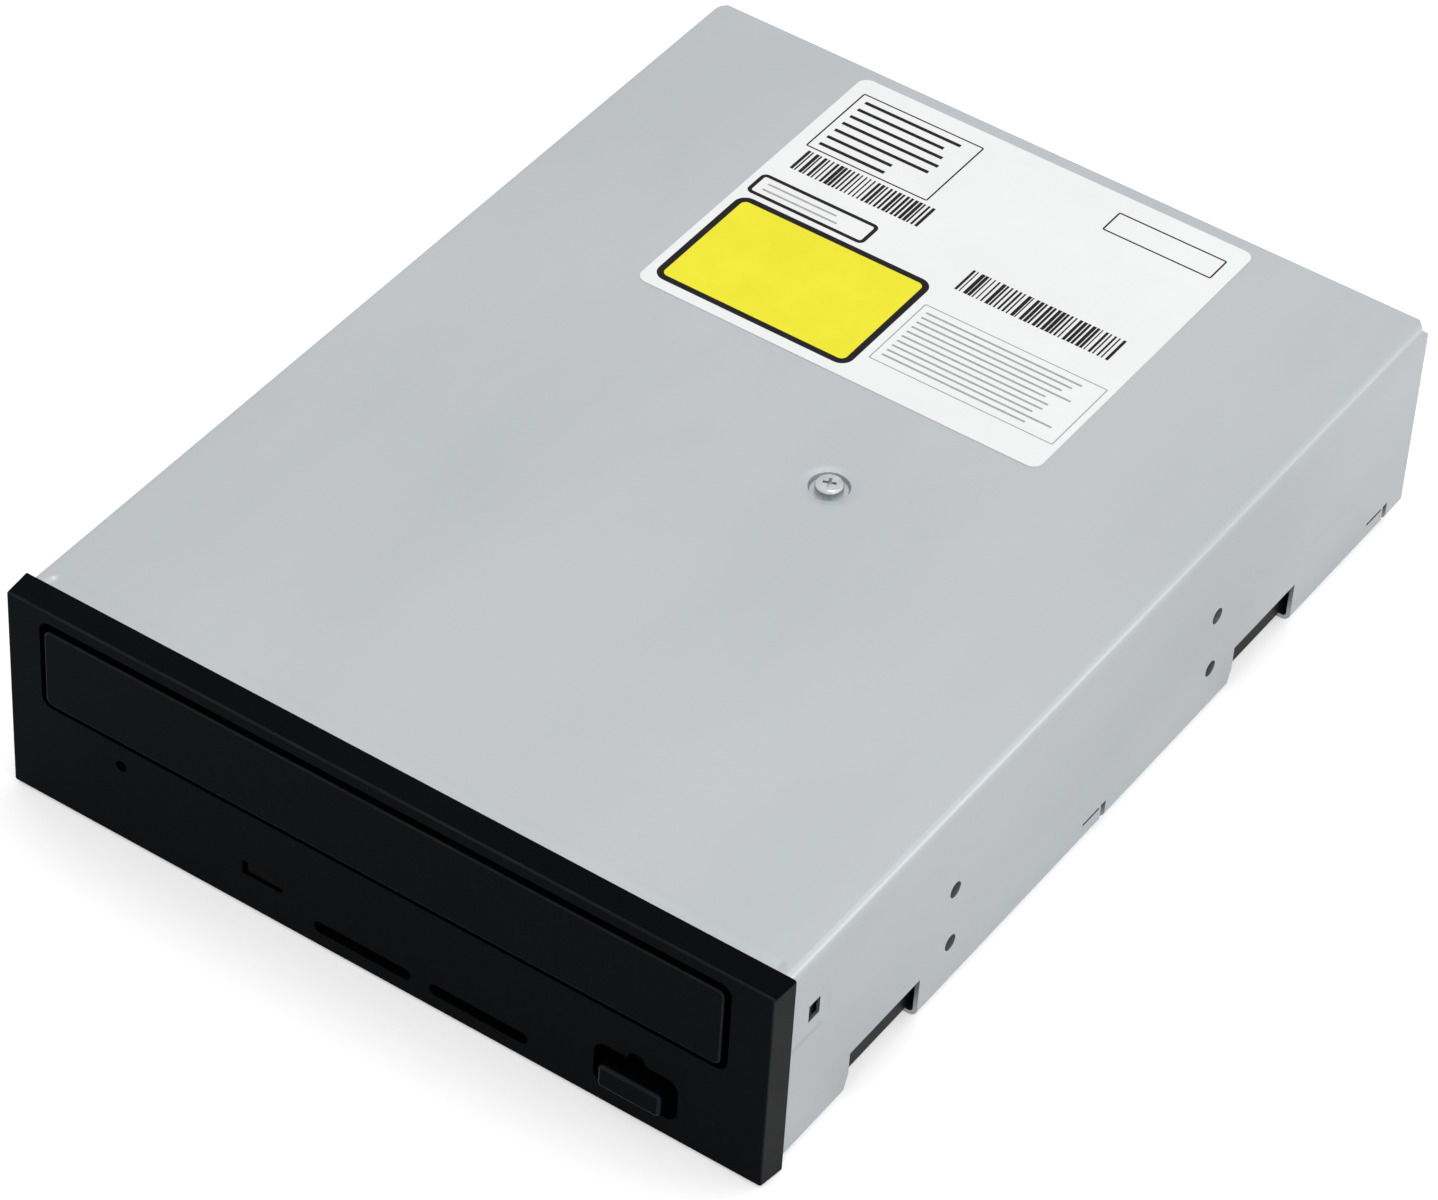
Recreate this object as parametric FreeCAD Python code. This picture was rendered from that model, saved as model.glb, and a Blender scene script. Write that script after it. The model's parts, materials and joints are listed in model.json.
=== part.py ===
import FreeCAD, Part
import math
import os

# Internal disc drive, half-height, tray loading. Millimetres.
# X points to the drive's right as seen from its front, Y to its rear, Z up.
# The origin is the middle of the four bottom mounting holes, on the mounting plane.
# The rest pose is the tray shut and the traverse lowered.

# Mounting holes, measured from the bezel's back plane and the mounting plane
first_row = 47.4
row_pitch = 79.25
side_hole_height = 10.0
side_hole_pitch = 11.84
bottom_hole_inset = 3.35
mount_thread = 3.0
collar_wall = 0.9
collar_height = 1.5

# Case
body_width = 146.4
body_length = 192.6
body_height = 40.7
sheet = 0.8
bend_radius = 1.6
flange_width = 8.0
front_joggle_length = 2.3
front_joggle_slope = 1.0
front_joggle_depth = 0.3
corner_relief = 2.0
rear_window_height = 16.6
seat_gap = 0.2
running_gap = 0.1

# Cut-outs in the side walls, measured back from the bezel
notch_starts = (19.1, 134.8)
notch_length = 19.8
notch_height = 8.6
notch_slant = 0.9
middle_tab_start = 87.8
rear_tab_gap = 12.7
tab_slit_length = 5.0
tab_slit_height = 0.5
tab_top = 4.3
tab_notch_start = 5.6
tab_notch_length = 1.5
hook_window_start = 6.0
hook_window_length = 3.0
hook_window_height = 3.5
hook_window_bottom = 26.5
window_pad_length = 11.2
window_pad_bottom = 24.0
window_pad_height = 7.2
window_pad_depth = 0.2
window_pad_slope = 0.6

# Screw in the top sheet
top_screw_x = 15.4
top_screw_back = 96.1
dish_flare_diameter = 10.8
dish_flare_depth = 0.3
dish_rim_diameter = 7.2
dish_floor_diameter = 6.5
dish_depth = 1.0
pan_head_diameter = 4.9
pan_head_height = 1.6
pan_head_round = 0.6
screw_core_diameter = 2.5
pilot_hole_diameter = 2.6
recess_length = 2.3
recess_width = 0.55
recess_depth = 0.7
recess_turn = 22.5

# Sticker
label_width = 80.5
label_length = 70.0
label_rear_gap = 2.6
label_thickness = 0.12
label_corner = 2.0

# Bezel
bezel_overhang = 0.8
bezel_height = 42.2
bezel_depth = 5.2
bezel_drop = 0.85
bezel_wall = 1.8
bezel_front_wall = 2.0
side_draft = 0.37
top_draft = 0.17
bottom_draft = 0.57
bezel_corner = 0.5
bezel_edge = 0.3

# Tray door and its opening
tray_middle = -0.5
opening_side_play = 2.4
opening_height = 18.5
opening_bottom = 20.35
opening_corner = 2.2
opening_sleeve = 1.2
door_gap_side = 1.2
door_gap_top = 1.45
door_gap_bottom = 1.15
door_corner = 1.3
door_stand = 0.4
door_thickness = 3.6
door_wall = 1.6
door_edge = 0.35

# Vent slots, pinhole and status window
vent_length = 19.1
vent_height = 2.4
vent_middle_height = 3.85
vent_first_x = -2.9
vent_pitch = 22.7
pinhole_side_gap = 22.9
pinhole_height = 15.85
pinhole_diameter = 2.2
window_left = -26.8
window_width = 8.0
window_bottom = 6.8
window_height = 2.8
window_recess = 0.4
window_left_gap = 0.9
window_gap = 0.12
window_lip = 0.9
window_lip_thickness = 0.8
light_pipe_width = 3.6

# Button and its pocket
pocket_side_gap = 32.2
pocket_width = 15.8
pocket_bottom = 3.5
pocket_height = 8.8
pocket_corner = 2.2
pocket_depth = 3.2
pocket_floor = 1.2
thumb_notch_radius = 1.7
thumb_notch_depth = 1.2
button_inset = 7.5
button_bottom = 4.1
button_width = 11.8
button_height = 4.7
button_corner = 1.0
button_stand = 1.3
button_gap = 0.25
button_flange = 1.0
button_stem_radius = 1.6
button_travel = 0.8
button_edge = 0.6

# Bezel hooks
hook_arm_thickness = 1.2
hook_nub = 1.0
hook_side_gap = 0.2
tongue_middle = 38.0
tongue_width = 8.0
tongue_length = 4.4
tongue_thickness = 1.1

# Frame
frame_gap = 1.2
frame_wall = 1.4
frame_foot = 1.25
skirt_height = 30.0
skirt_front_gap = 0.6
bridge_seat_height = 33.7
rear_wall_gap = 1.0
rear_wall = 1.4
deck_underside = 9.2
deck_thickness = 1.6
deck_front = 6.4
rib_thickness = 1.6
rib_places = (-46.0, 14.5, 58.0)
screw_boss_radius = 2.9
flange_screw_inset = 5.2
flange_screw_front_gap = 9.0
flange_screw_rear_gap = 16.6
flange_dish_rim = 5.4
flange_dish_floor = 4.2
flange_dish_depth = 0.9
flange_head_diameter = 4.0
flange_head_height = 0.8

# Bottom cover
pan_side_gap = 6.3
pan_front_gap = 8.0
pan_rear_gap = 10.0
plate_front_gap = 3.0
plate_rear_gap = 4.2
pan_rib_length = 76.0
pan_rib_width = 7.0
pan_rib_height = 0.5
pan_rib_places = (-42.0, 0.0, 42.0)

# Tray
disc_back = 72.0
disc_radius = 60.0
small_disc_radius = 40.0
disc_clearance = 0.8
tray_side_gap = 5.6
rail_reach = 2.5
tray_bottom = 25.2
tray_floor = 28.0
tray_small_floor = 26.6
tray_top = 31.0
tray_corner = 6.0
tray_wall = 2.0
rail_bottom = 22.5
rail_height = 2.4
rail_end = 84.0
tray_body_end = 66.0
spindle_hole_radius = 21.0
slot_half_width = 22.0
slot_end = 58.0
front_plate_half_width = 60.0
front_plate_top = 36.0
front_plate_thickness = 2.0
claw_angles = (52.0, 128.0, 232.0, 308.0)
claw_width = 8.0
claw_reach = 1.4
claw_thickness = 1.2
tray_travel = 138.0

# Tray guides in the frame
ledge_overlap = 2.0
ledge_thickness = 2.0
rail_gap = 0.2
guide_thickness = 1.5
guide_height = 2.4
holddown_places = (-70.0, 0.0, 45.0)
holddown_length = 8.0
holddown_thickness = 1.5
holddown_overlap = 1.6

# Loading gears
rack_pitch_line = 57.0
rack_module = 1.0
rack_teeth = 47
rack_bottom = 20.9
rack_back = 2.0
spur_teeth = 18
spur_face = 3.4
tray_gear_back = 24.0
wheel_module = 0.8
wheel_teeth = 40
wheel_bottom = 11.3
wheel_face = 2.8
pinion_teeth = 14
pinion_extra = 1.6
train_angle = 200.0
gear_post_radius = 1.5
gear_hub_radius = 3.4
pulley_bottom = 19.0
pulley_width = 3.4
pulley_flange = 0.8
pulley_radius = 9.6
pulley_flange_radius = 11.0
motor_x = -12.0
motor_back = 20.4
motor_radius = 12.0
motor_bottom = 2.6
motor_height = 12.3
motor_shaft_radius = 1.0
motor_boss_radius = 3.1
motor_boss_height = 1.6
motor_pulley_radius = 3.3
motor_flange_radius = 4.4
belt_thickness = 1.2
belt_gap = 0.06

# Cam slider
slider_gap = 0.6
slider_thickness = 3.8
slider_bottom = 2.9
slider_top = 20.0
slider_side_gap = 2.3
slider_right = 50.0
slider_travel = 14.0
slider_rack_teeth = 6
slider_rack_start = 34.0
pin_places = (-28.0, 28.0)
pin_radius = 1.5
pin_play = 0.45
ramp_reach = 8.0
ramp_height = 3.6
slider_hooks = (-40.0, 14.5)
slider_hook_width = 6.0
slider_hook_thickness = 1.4
slider_hook_gap = 0.3

# Front board
board_thickness = 1.2
front_board_left = -30.0
front_board_reach = 10.7
front_board_bottom = 1.8
front_board_top = 10.8
board_post_width = 2.6
switch_size = 6.0
switch_depth = 3.4
plunger_radius = 1.2
plunger_reach = 0.9
plunger_length = 2.6
led_radius = 1.5
led_length = 3.0
ribbon_thickness = 0.3
front_ribbon_left = -28.0
front_ribbon_width = 12.0
tray_switch_x = -54.0
tray_switch_back = 24.5
tray_switch_width = 6.0
tray_switch_length = 8.0
tray_switch_height = 8.0

# Traverse, drawn level in the play position and then lowered at its front
pivot_y = 76.0
pivot_height = 16.0
pivot_pin_radius = 2.5
pivot_pin_reach = 7.0
lowering_angle = 5.6
holder_half_width = 52.0
holder_front_gap = 1.2
holder_side = 7.5
holder_front_bar = 10.0
holder_rear_bar = 7.5
holder_rear = 80.0
holder_bottom = 14.0
holder_top = 18.0
cam_pin_height = 17.5
cam_pin_reach = 6.2
plate_gap = 0.6
plate_thickness = 1.0
plate_half_width = 43.6
plate_front = -35.0
plate_rear = 71.6
well_half_width = 34.5
well_front = 0.0
well_rear = 68.0
motor_well_right = 41.6
damper_x = 48.0
damper_places = (-32.0, 62.0)
damper_radius = 4.2
damper_neck_radius = 2.8
damper_collar = 1.2
damper_bore_radius = 1.5
damper_screw_radius = 1.25
damper_head_radius = 3.4
damper_head_height = 1.3

# Spindle
spindle_base_half_width = 17.0
spindle_base_length = 31.0
rotor_radius = 13.5
rotor_bottom = 21.2
rotor_top = 26.0
stator_radius = 5.0
turntable_seat = 30.9
turntable_radius = 15.0
turntable_disc = 1.6
turntable_hub_radius = 8.5
pad_width = 3.4
pad_thickness = 0.5
cone_base_radius = 7.4
cone_top_radius = 5.4
cone_height = 2.4
spindle_shaft_radius = 1.2

# Pickup and its feed
shaft_offset = 29.0
shaft_radius = 1.5
shaft_height = 21.5
shaft_front = -1.5
shaft_rear = 70.0
shaft_holder_width = 5.0
shaft_holder_length = 4.0
lens_back = 24.0
pickup_travel = 35.0
pickup_half_width = 20.0
pickup_front = 7.0
pickup_length = 27.0
pickup_bottom = 16.6
pickup_top = 24.4
lug_length = 22.0
lug_width = 10.6
lug_bore_gap = 0.06
actuator_half_width = 14.0
actuator_front = 6.0
actuator_length = 17.0
actuator_top = 28.3
actuator_wall = 0.6
actuator_hole_radius = 5.2
lens_holder_half = 3.5
lens_holder_bottom = 25.2
lens_holder_top = 28.6
lens_radius = 2.9
lens_top = 29.5
lens_travel = 0.6
lens_wire_radius = 0.1
lens_wire_spread = 3.0
screw_offset = 36.5
lead_screw_radius = 1.4
lead_screw_height = 19.5
lead_screw_front = 1.6
feed_motor_radius = 4.8
feed_motor_length = 11.2
feed_bracket_y = 57.5
feed_bracket_thickness = 1.0
feed_bracket_left = 31.6
feed_rack_length = 12.0
feed_rack_height = 4.0
feed_rack_gap = 0.3
pickup_ribbon_width = 22.0
pickup_ribbon_height = 13.3
pickup_ribbon_front = 24.0
pickup_ribbon_rear = 86.0
pickup_ribbon_drop = 6.4

# Clamper
bridge_thickness = 1.0
bridge_front = -36.0
bridge_rear = 22.0
bridge_side_gap = 0.4
bridge_hole_radius = 15.6
bridge_lip = 1.5
bridge_boss_radius = 3.2
clamper_bottom = 31.9
clamper_radius = 14.9
clamper_flange_radius = 18.2
clamper_flange = 1.3
clamper_bore_radius = 7.9
clamper_bore_depth = 2.6
magnet_outer_radius = 12.0
magnet_inner_radius = 5.0
magnet_thickness = 1.4
yoke_radius = 13.0
yoke_thickness = 0.6

# Main board and its sockets
main_board_side_gap = 7.8
main_board_front = 18.0
main_board_bottom = 3.4
main_board_thickness = 1.6
shelf_places = (24.0, 80.0)
shelf_overlap = 7.5
shelf_length = 7.0
shelf_thickness = 2.0
board_screw_inset = 3.5
board_head_radius = 2.4
board_head_height = 1.1
board_screw_length = 3.2
chip_places = ((-20.0, 60.0, 12.0), (24.0, 58.0, 10.0), (-38.0, 32.0, 8.0), (4.0, 30.0, 7.0))
chip_height = 1.6
capacitor_places = ((48.0, 62.0), (48.0, 71.0), (-50.0, 60.0))
capacitor_radius = 3.1
capacitor_height = 6.5
board_socket_length = 4.0
board_socket_height = 1.5
socket_face_gap = 1.2
socket_wall = 1.0
ide_x = 6.0
ide_width = 58.4
ide_height = 9.2
ide_depth = 10.0
ide_columns = 20
ide_pitch = 2.54
ide_pin = 0.64
ide_pin_height = 4.6
power_x = -50.0
power_width = 22.4
power_height = 10.8
power_depth = 11.0
power_pitch = 5.08
power_pin_radius = 1.05
power_pin_height = 5.4
jumper_x = 43.6
jumper_columns = 3
jumper_depth = 9.0
audio_x = 54.0
audio_width = 11.4
audio_height = 6.6
audio_pins = 4
pin_reach = 7.0

# Places that follow from the sizes above
half_width = body_width / 2
bottom_hole_span = body_width - 2 * bottom_hole_inset
bezel_width = body_width + 2 * bezel_overhang
tab_starts = (middle_tab_start, body_length - rear_tab_gap)
flange_screw_x = half_width - flange_screw_inset
flange_screw_backs = (flange_screw_front_gap, body_length - flange_screw_rear_gap)
bezel_back = -(first_row + row_pitch / 2)
bezel_front = bezel_back - bezel_depth
bezel_bottom = -bezel_drop
bezel_top = bezel_bottom + bezel_height
cover_front = bezel_back + running_gap
rear = bezel_back + body_length
wall_inner = half_width - sheet
skirt_outer = wall_inner - frame_gap
skirt_inner = skirt_outer - frame_wall
tray_half_width = skirt_inner - tray_side_gap
tray_body_half_width = tray_half_width - rail_reach
opening_width = 2 * (tray_half_width + opening_side_play)
pinhole_x = pinhole_side_gap - bezel_width / 2
pocket_left = bezel_width / 2 - pocket_side_gap
button_middle_x = pocket_left + button_inset
front_board_right = button_middle_x + front_board_reach
pan_side = skirt_inner - pan_side_gap
slider_left = slider_side_gap - skirt_inner
main_board_half_width = skirt_inner - main_board_side_gap
shelf_inner = main_board_half_width - shelf_overlap
board_screw_x = main_board_half_width - board_screw_inset
opening_middle = opening_bottom + opening_height / 2
door_front = bezel_front - door_stand
door_back = door_front + door_thickness
door_bottom = opening_bottom + door_gap_bottom
door_top = opening_bottom + opening_height - door_gap_top
door_half_width = opening_width / 2 - door_gap_side
spindle_x = tray_middle
spindle_y = bezel_back + disc_back
dish_bottom = body_height - dish_depth - sheet
top_screw_y = bezel_back + top_screw_back
deck_top = deck_underside + deck_thickness
deck_front_y = bezel_back + deck_front
spur_radius = rack_module * spur_teeth / 2
wheel_radius = wheel_module * wheel_teeth / 2
pinion_radius = wheel_module * pinion_teeth / 2
wheel_outer = wheel_radius + wheel_module * 0.8
tray_gear_x = rack_pitch_line - spur_radius
tray_gear_y = bezel_back + tray_gear_back
pulley_gear_x = tray_gear_x + (wheel_radius + pinion_radius) * math.cos(math.radians(train_angle))
pulley_gear_y = tray_gear_y + (wheel_radius + pinion_radius) * math.sin(math.radians(train_angle))
motor_y = bezel_back + motor_back
slider_front = tray_gear_y + wheel_outer + slider_gap
slider_back = slider_front + slider_thickness
holder_front = slider_back + holder_front_gap
rim_top = sheet + seat_gap / 2 + sheet
deck_foot = rim_top + seat_gap
board_back = deck_front_y - seat_gap
board_front = board_back - board_thickness
switch_front = board_front - switch_depth
button_x0 = button_middle_x - button_width / 2
button_x1 = button_middle_x + button_width / 2
button_top = button_bottom + button_height
button_middle_z = button_bottom + button_height / 2
plate_bottom = holder_top + plate_gap
plate_top = plate_bottom + plate_thickness
lens_y = spindle_y + lens_back
pickup_y0 = lens_y - pickup_front
main_board_top = main_board_bottom + main_board_thickness
main_board_rear = rear - sheet - rear_wall_gap - rear_wall - running_gap
bridge_bottom = bridge_seat_height + seat_gap
bridge_top = bridge_bottom + bridge_thickness
socket_face = rear - socket_face_gap


def vec(x, y, z):
    return FreeCAD.Vector(x, y, z)


def box(x0, x1, y0, y1, z0, z1):
    return Part.makeBox(x1 - x0, y1 - y0, z1 - z0, vec(x0, y0, z0))


def rod_x(y, z, x0, x1, radius):
    return Part.makeCylinder(radius, x1 - x0, vec(x0, y, z), vec(1, 0, 0))


def rod_y(x, z, y0, y1, radius):
    return Part.makeCylinder(radius, y1 - y0, vec(x, y0, z), vec(0, 1, 0))


def rod_z(x, y, z0, z1, radius):
    return Part.makeCylinder(radius, z1 - z0, vec(x, y, z0))


def cone_z(x, y, z0, z1, low_radius, high_radius):
    return Part.makeCone(low_radius, high_radius, z1 - z0, vec(x, y, z0))


def join(*shapes):
    return shapes[0].fuse(list(shapes[1:])).removeSplitter()


def mirrored(shape):
    return shape.mirror(vec(0, 0, 0), vec(1, 0, 0))


def both_sides(shape):
    return Part.Compound([shape, mirrored(shape)])


def prism(points, sweep):
    wire = Part.makePolygon(points + [points[0]])
    return Part.Face(wire).extrude(sweep)


def prism_x(points, x0, x1):
    return prism([vec(x0, y, z) for y, z in points], vec(x1 - x0, 0, 0))


def prism_z(points, z0, z1):
    return prism([vec(x, y, z0) for x, y in points], vec(0, 0, z1 - z0))


def prism_y(points, y0, y1):
    return prism([vec(x, y0, z) for x, z in points], vec(0, y1 - y0, 0))


# A rectangle with round corners, given in two directions and placed by a function.
def round_wire(u0, u1, v0, v1, radius, place):
    k = radius * (1 - math.sqrt(0.5))
    edges = []
    sides = [
        ((u0 + radius, v0), (u1 - radius, v0), (u1 - k, v0 + k), (u1, v0 + radius)),
        ((u1, v0 + radius), (u1, v1 - radius), (u1 - k, v1 - k), (u1 - radius, v1)),
        ((u1 - radius, v1), (u0 + radius, v1), (u0 + k, v1 - k), (u0, v1 - radius)),
        ((u0, v1 - radius), (u0, v0 + radius), (u0 + k, v0 + k), (u0 + radius, v0)),
    ]
    for start, end, middle, after in sides:
        edges.append(Part.LineSegment(place(*start), place(*end)).toShape())
        edges.append(Part.Arc(place(*end), place(*middle), place(*after)).toShape())
    return Part.Wire(edges)


def slab_z(x0, x1, y0, y1, z0, z1, radius):
    wire = round_wire(x0, x1, y0, y1, radius, lambda u, v: vec(u, v, z0))
    return Part.Face(wire).extrude(vec(0, 0, z1 - z0))


def slab_y(x0, x1, z0, z1, y0, y1, radius):
    wire = round_wire(x0, x1, z0, z1, radius, lambda u, v: vec(u, y0, v))
    return Part.Face(wire).extrude(vec(0, y1 - y0, 0))


# A shallow area with sloping borders: the outline at the floor, and a wider one at the mouth.
def sloped_tool(u0, u1, v0, v1, radius, slope, floor, mouth):
    low = round_wire(u0, u1, v0, v1, radius, floor)
    high = round_wire(u0 - slope, u1 + slope, v0 - slope, v1 + slope, radius + slope, mouth)
    return Part.makeLoft([low, high], True, True)


# Edges that lie wholly in the plane Y = y.
def edges_at_y(shape, y):
    chosen = []
    for edge in shape.Edges:
        limits = edge.BoundBox
        if abs(limits.YMin - y) < 1e-4 and abs(limits.YMax - y) < 1e-4:
            chosen.append(edge)
    return chosen


def cross_recess(x, y, top, turn):
    arm = box(x - recess_length / 2, x + recess_length / 2, y - recess_width / 2, y + recess_width / 2,
              top - recess_depth, top)
    other = arm.copy()
    arm.rotate(vec(x, y, 0), vec(0, 0, 1), turn)
    other.rotate(vec(x, y, 0), vec(0, 0, 1), turn + 90)
    return arm.fuse(other)


# Straight-flanked gear teeth on a disc. The tooth thickness leaves backlash.
tooth_height = 0.8
tooth_depth = 1.15
tooth_share = 0.43
flank_slope = 0.36


def gear_outline(x, y, z, module, teeth, phase):
    pitch_radius = module * teeth / 2
    tip = pitch_radius + tooth_height * module
    root = pitch_radius - tooth_depth * module
    half = math.pi * module * tooth_share / 2
    half_tip = (half - tooth_height * module * flank_slope) / tip
    half_root = (half + tooth_depth * module * flank_slope) / root
    points = []
    for count in range(teeth):
        middle = phase + 2 * math.pi * count / teeth
        for radius, turn in ((root, -half_root), (tip, -half_tip), (tip, half_tip), (root, half_root)):
            angle = middle + turn
            points.append(vec(x + radius * math.cos(angle), y + radius * math.sin(angle), z))
    return points


def gear(x, y, z0, z1, module, teeth, phase):
    return prism(gear_outline(x, y, z0, module, teeth, phase), vec(0, 0, z1 - z0))


def rack_outline(y0, count, module, pitch_line, back, side):
    pitch = math.pi * module
    half = pitch * tooth_share / 2
    tip = pitch_line + side * tooth_height * module
    root = pitch_line - side * tooth_depth * module
    half_tip = half - tooth_height * module * flank_slope
    half_root = half + tooth_depth * module * flank_slope
    points = [(back, y0 - pitch / 2)]
    for index in range(count):
        middle = y0 + pitch * index
        points += [(root, middle - half_root), (tip, middle - half_tip),
                   (tip, middle + half_tip), (root, middle + half_root)]
    points.append((back, y0 + pitch * (count - 0.5)))
    return points


# The loading train's tooth places: a rack gap faces the spur's tooth, a wheel tooth faces a pinion gap.
spur_phase = 0.0
train_direction = math.radians(train_angle)
wheel_phase = train_direction
pinion_phase = train_direction + math.pi + math.pi / pinion_teeth


def lowered(shape):
    moved = shape.copy()
    moved.rotate(vec(0, pivot_y, pivot_height), vec(1, 0, 0), lowering_angle)
    return moved


# Case pieces

def side_cutouts():
    tools = []
    for start in notch_starts:
        front = bezel_back + start
        back = front + notch_length
        points = [(front, notch_height), (back, notch_height), (back, -1),
                  (front - notch_slant, -1), (front - notch_slant, bend_radius), (front, notch_height / 2)]
        tools.append(prism_x(points, half_width - flange_width - 1, half_width + 1))
    for start in tab_starts:
        front = bezel_back + start
        notch = front + tab_notch_start
        tools.append(box(wall_inner - 1, half_width + 1, front, front + tab_slit_length, tab_top - tab_slit_height,
                         tab_top))
        tools.append(box(half_width - 3, half_width + 1, notch, notch + tab_notch_length, -1, tab_top))
    pad_floor = half_width - window_pad_depth
    pad_mouth = half_width + window_pad_depth
    pad_top = window_pad_bottom + window_pad_height
    tools.append(sloped_tool(bezel_back - 4, bezel_back + window_pad_length, window_pad_bottom, pad_top, 1.5,
                             2 * window_pad_slope, lambda u, v: vec(pad_floor, u, v),
                             lambda u, v: vec(pad_mouth, u, v)))
    front = bezel_back + hook_window_start
    tools.append(box(wall_inner - 1, half_width + 1, front, front + hook_window_length,
                     hook_window_bottom, hook_window_bottom + hook_window_height))
    return tools


def mount_rows():
    return (bezel_back + first_row, bezel_back + first_row + row_pitch)


def side_hole_heights():
    return (side_hole_height, side_hole_height + side_hole_pitch)


def case_collars(radius):
    rods = []
    for y in mount_rows():
        for z in side_hole_heights():
            rods.append(rod_x(y, z, wall_inner - collar_height, wall_inner + sheet / 2, radius))
        rods.append(rod_z(bottom_hole_span / 2, y, sheet / 2, sheet + collar_height, radius))
    return rods


def case_holes():
    rods = []
    for y in mount_rows():
        for z in side_hole_heights():
            rods.append(rod_x(y, z, wall_inner - collar_height - 1, half_width + 1, mount_thread / 2))
        rods.append(rod_z(bottom_hole_span / 2, y, -1, sheet + collar_height + 1, mount_thread / 2))
    return rods


def flange_screw_spots():
    return [(flange_screw_x, bezel_back + back) for back in flange_screw_backs]


def flange_dishes():
    added = []
    removed = []
    for x, y in flange_screw_spots():
        rim = flange_dish_rim / 2
        floor = flange_dish_floor / 2
        wall = sheet * 0.8
        added.append(cone_z(x, y, sheet / 2, flange_dish_depth + sheet, rim + wall, floor + wall))
        removed.append(cone_z(x, y, 0, flange_dish_depth, rim, floor))
        removed.append(rod_z(x, y, -1, flange_dish_depth + sheet + 1, pilot_hole_diameter / 2 + 0.1))
    return added, removed


def top_cover():
    shell = slab_y(-half_width, half_width, 0, body_height, cover_front, rear, bend_radius)
    hollow = slab_y(-wall_inner, wall_inner, sheet, body_height - sheet, cover_front - 1, rear - sheet,
                    bend_radius - sheet)
    shell = shell.cut(hollow)
    lip = half_width - flange_width
    shell = shell.cut(box(-lip, lip, cover_front - 1, rear + 1, -1, sheet + 1))
    shell = shell.cut(box(-wall_inner, wall_inner, rear - sheet - 1, rear + 1, -1, rear_window_height))
    joggle = half_width - bend_radius - sheet
    step_back = cover_front + front_joggle_length
    strip = box(-joggle, joggle, cover_front, step_back + front_joggle_slope,
                body_height - sheet - front_joggle_depth, body_height - sheet)
    step_floor = body_height - front_joggle_depth
    step_mouth = body_height + front_joggle_depth
    step = sloped_tool(front_joggle_slope - joggle, joggle - front_joggle_slope, cover_front - 4, step_back, 0.5,
                       2 * front_joggle_slope, lambda u, v: vec(u, v, step_floor), lambda u, v: vec(u, v, step_mouth))
    shell = shell.fuse(strip).cut(step)
    flare = dish_flare_diameter / 2
    rim = dish_rim_diameter / 2
    floor = dish_floor_diameter / 2
    flare_low = body_height - dish_flare_depth
    flare_grow = (flare - rim) / dish_flare_depth * sheet
    dish = cone_z(top_screw_x, top_screw_y, dish_bottom, body_height - sheet / 2, floor + sheet / 2, rim + sheet)
    collar = cone_z(top_screw_x, top_screw_y, flare_low - sheet, body_height - sheet, rim, flare)
    hollow_flare = cone_z(top_screw_x, top_screw_y, flare_low, body_height + sheet, rim, flare + flare_grow)
    hollow_dish = cone_z(top_screw_x, top_screw_y, body_height - dish_depth, flare_low + 0.01, floor, rim)
    shank_hole = rod_z(top_screw_x, top_screw_y, dish_bottom - 1, body_height, screw_core_diameter / 2 + 0.2)
    shell = shell.fuse([dish, collar]).cut([hollow_flare, hollow_dish, shank_hole])
    relief = [(half_width - corner_relief, rear + 1), (half_width + 1, rear + 1),
              (half_width + 1, rear - corner_relief), (half_width, rear - corner_relief),
              (half_width - corner_relief, rear)]
    tools = side_cutouts() + [prism_z(relief, body_height - corner_relief, body_height + 1)]
    dishes, dish_cuts = flange_dishes()
    added = case_collars(mount_thread / 2 + collar_wall) + dishes
    tools = tools + case_holes() + dish_cuts
    shell = shell.fuse(added + [mirrored(piece) for piece in added])
    shell = shell.cut(tools + [mirrored(tool) for tool in tools])
    return shell.removeSplitter()


def bottom_cover():
    edge = skirt_inner - 2 * seat_gap
    low = sheet + seat_gap / 2
    y0 = bezel_back + plate_front_gap
    y1 = rear - plate_rear_gap
    plate = slab_z(-edge, edge, y0, y1, low, low + sheet, 3)
    pan_y0 = bezel_back + pan_front_gap
    pan_y1 = rear - pan_rear_gap
    plate = plate.cut(slab_z(-pan_side, pan_side, pan_y0, pan_y1, 0, 3, 4))
    pan = slab_z(-pan_side, pan_side, pan_y0, pan_y1, 0, low + sheet, 4)
    pan = pan.cut(slab_z(sheet - pan_side, pan_side - sheet, pan_y0 + sheet, pan_y1 - sheet, sheet, 3, 4 - sheet))
    cover = plate.fuse(pan)
    half_rib = pan_rib_length / 2
    for y in pan_rib_places:
        y_low = y - pan_rib_width / 2
        y_high = y + pan_rib_width / 2
        cover = cover.fuse(slab_z(-half_rib, half_rib, y_low, y_high, sheet / 2, sheet + pan_rib_height, 3))
        cover = cover.cut(slab_z(1 - half_rib, half_rib - 1, y_low + 1, y_high - 1, 0, pan_rib_height, 2))
    tools = []
    for y in mount_rows():
        tools.append(rod_z(bottom_hole_span / 2, y, 0, 3, mount_thread / 2 + collar_wall + seat_gap))
    for x, y in flange_screw_spots():
        tools.append(rod_z(x, y, 0, 3, flange_dish_rim / 2 + sheet + seat_gap))
    for start in tab_starts:
        front = bezel_back + start
        tools.append(box(edge - 1, edge + 1, front, front + tab_notch_start + tab_notch_length, 0, 3))
    return cover.cut(tools + [mirrored(tool) for tool in tools]).removeSplitter()


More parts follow.
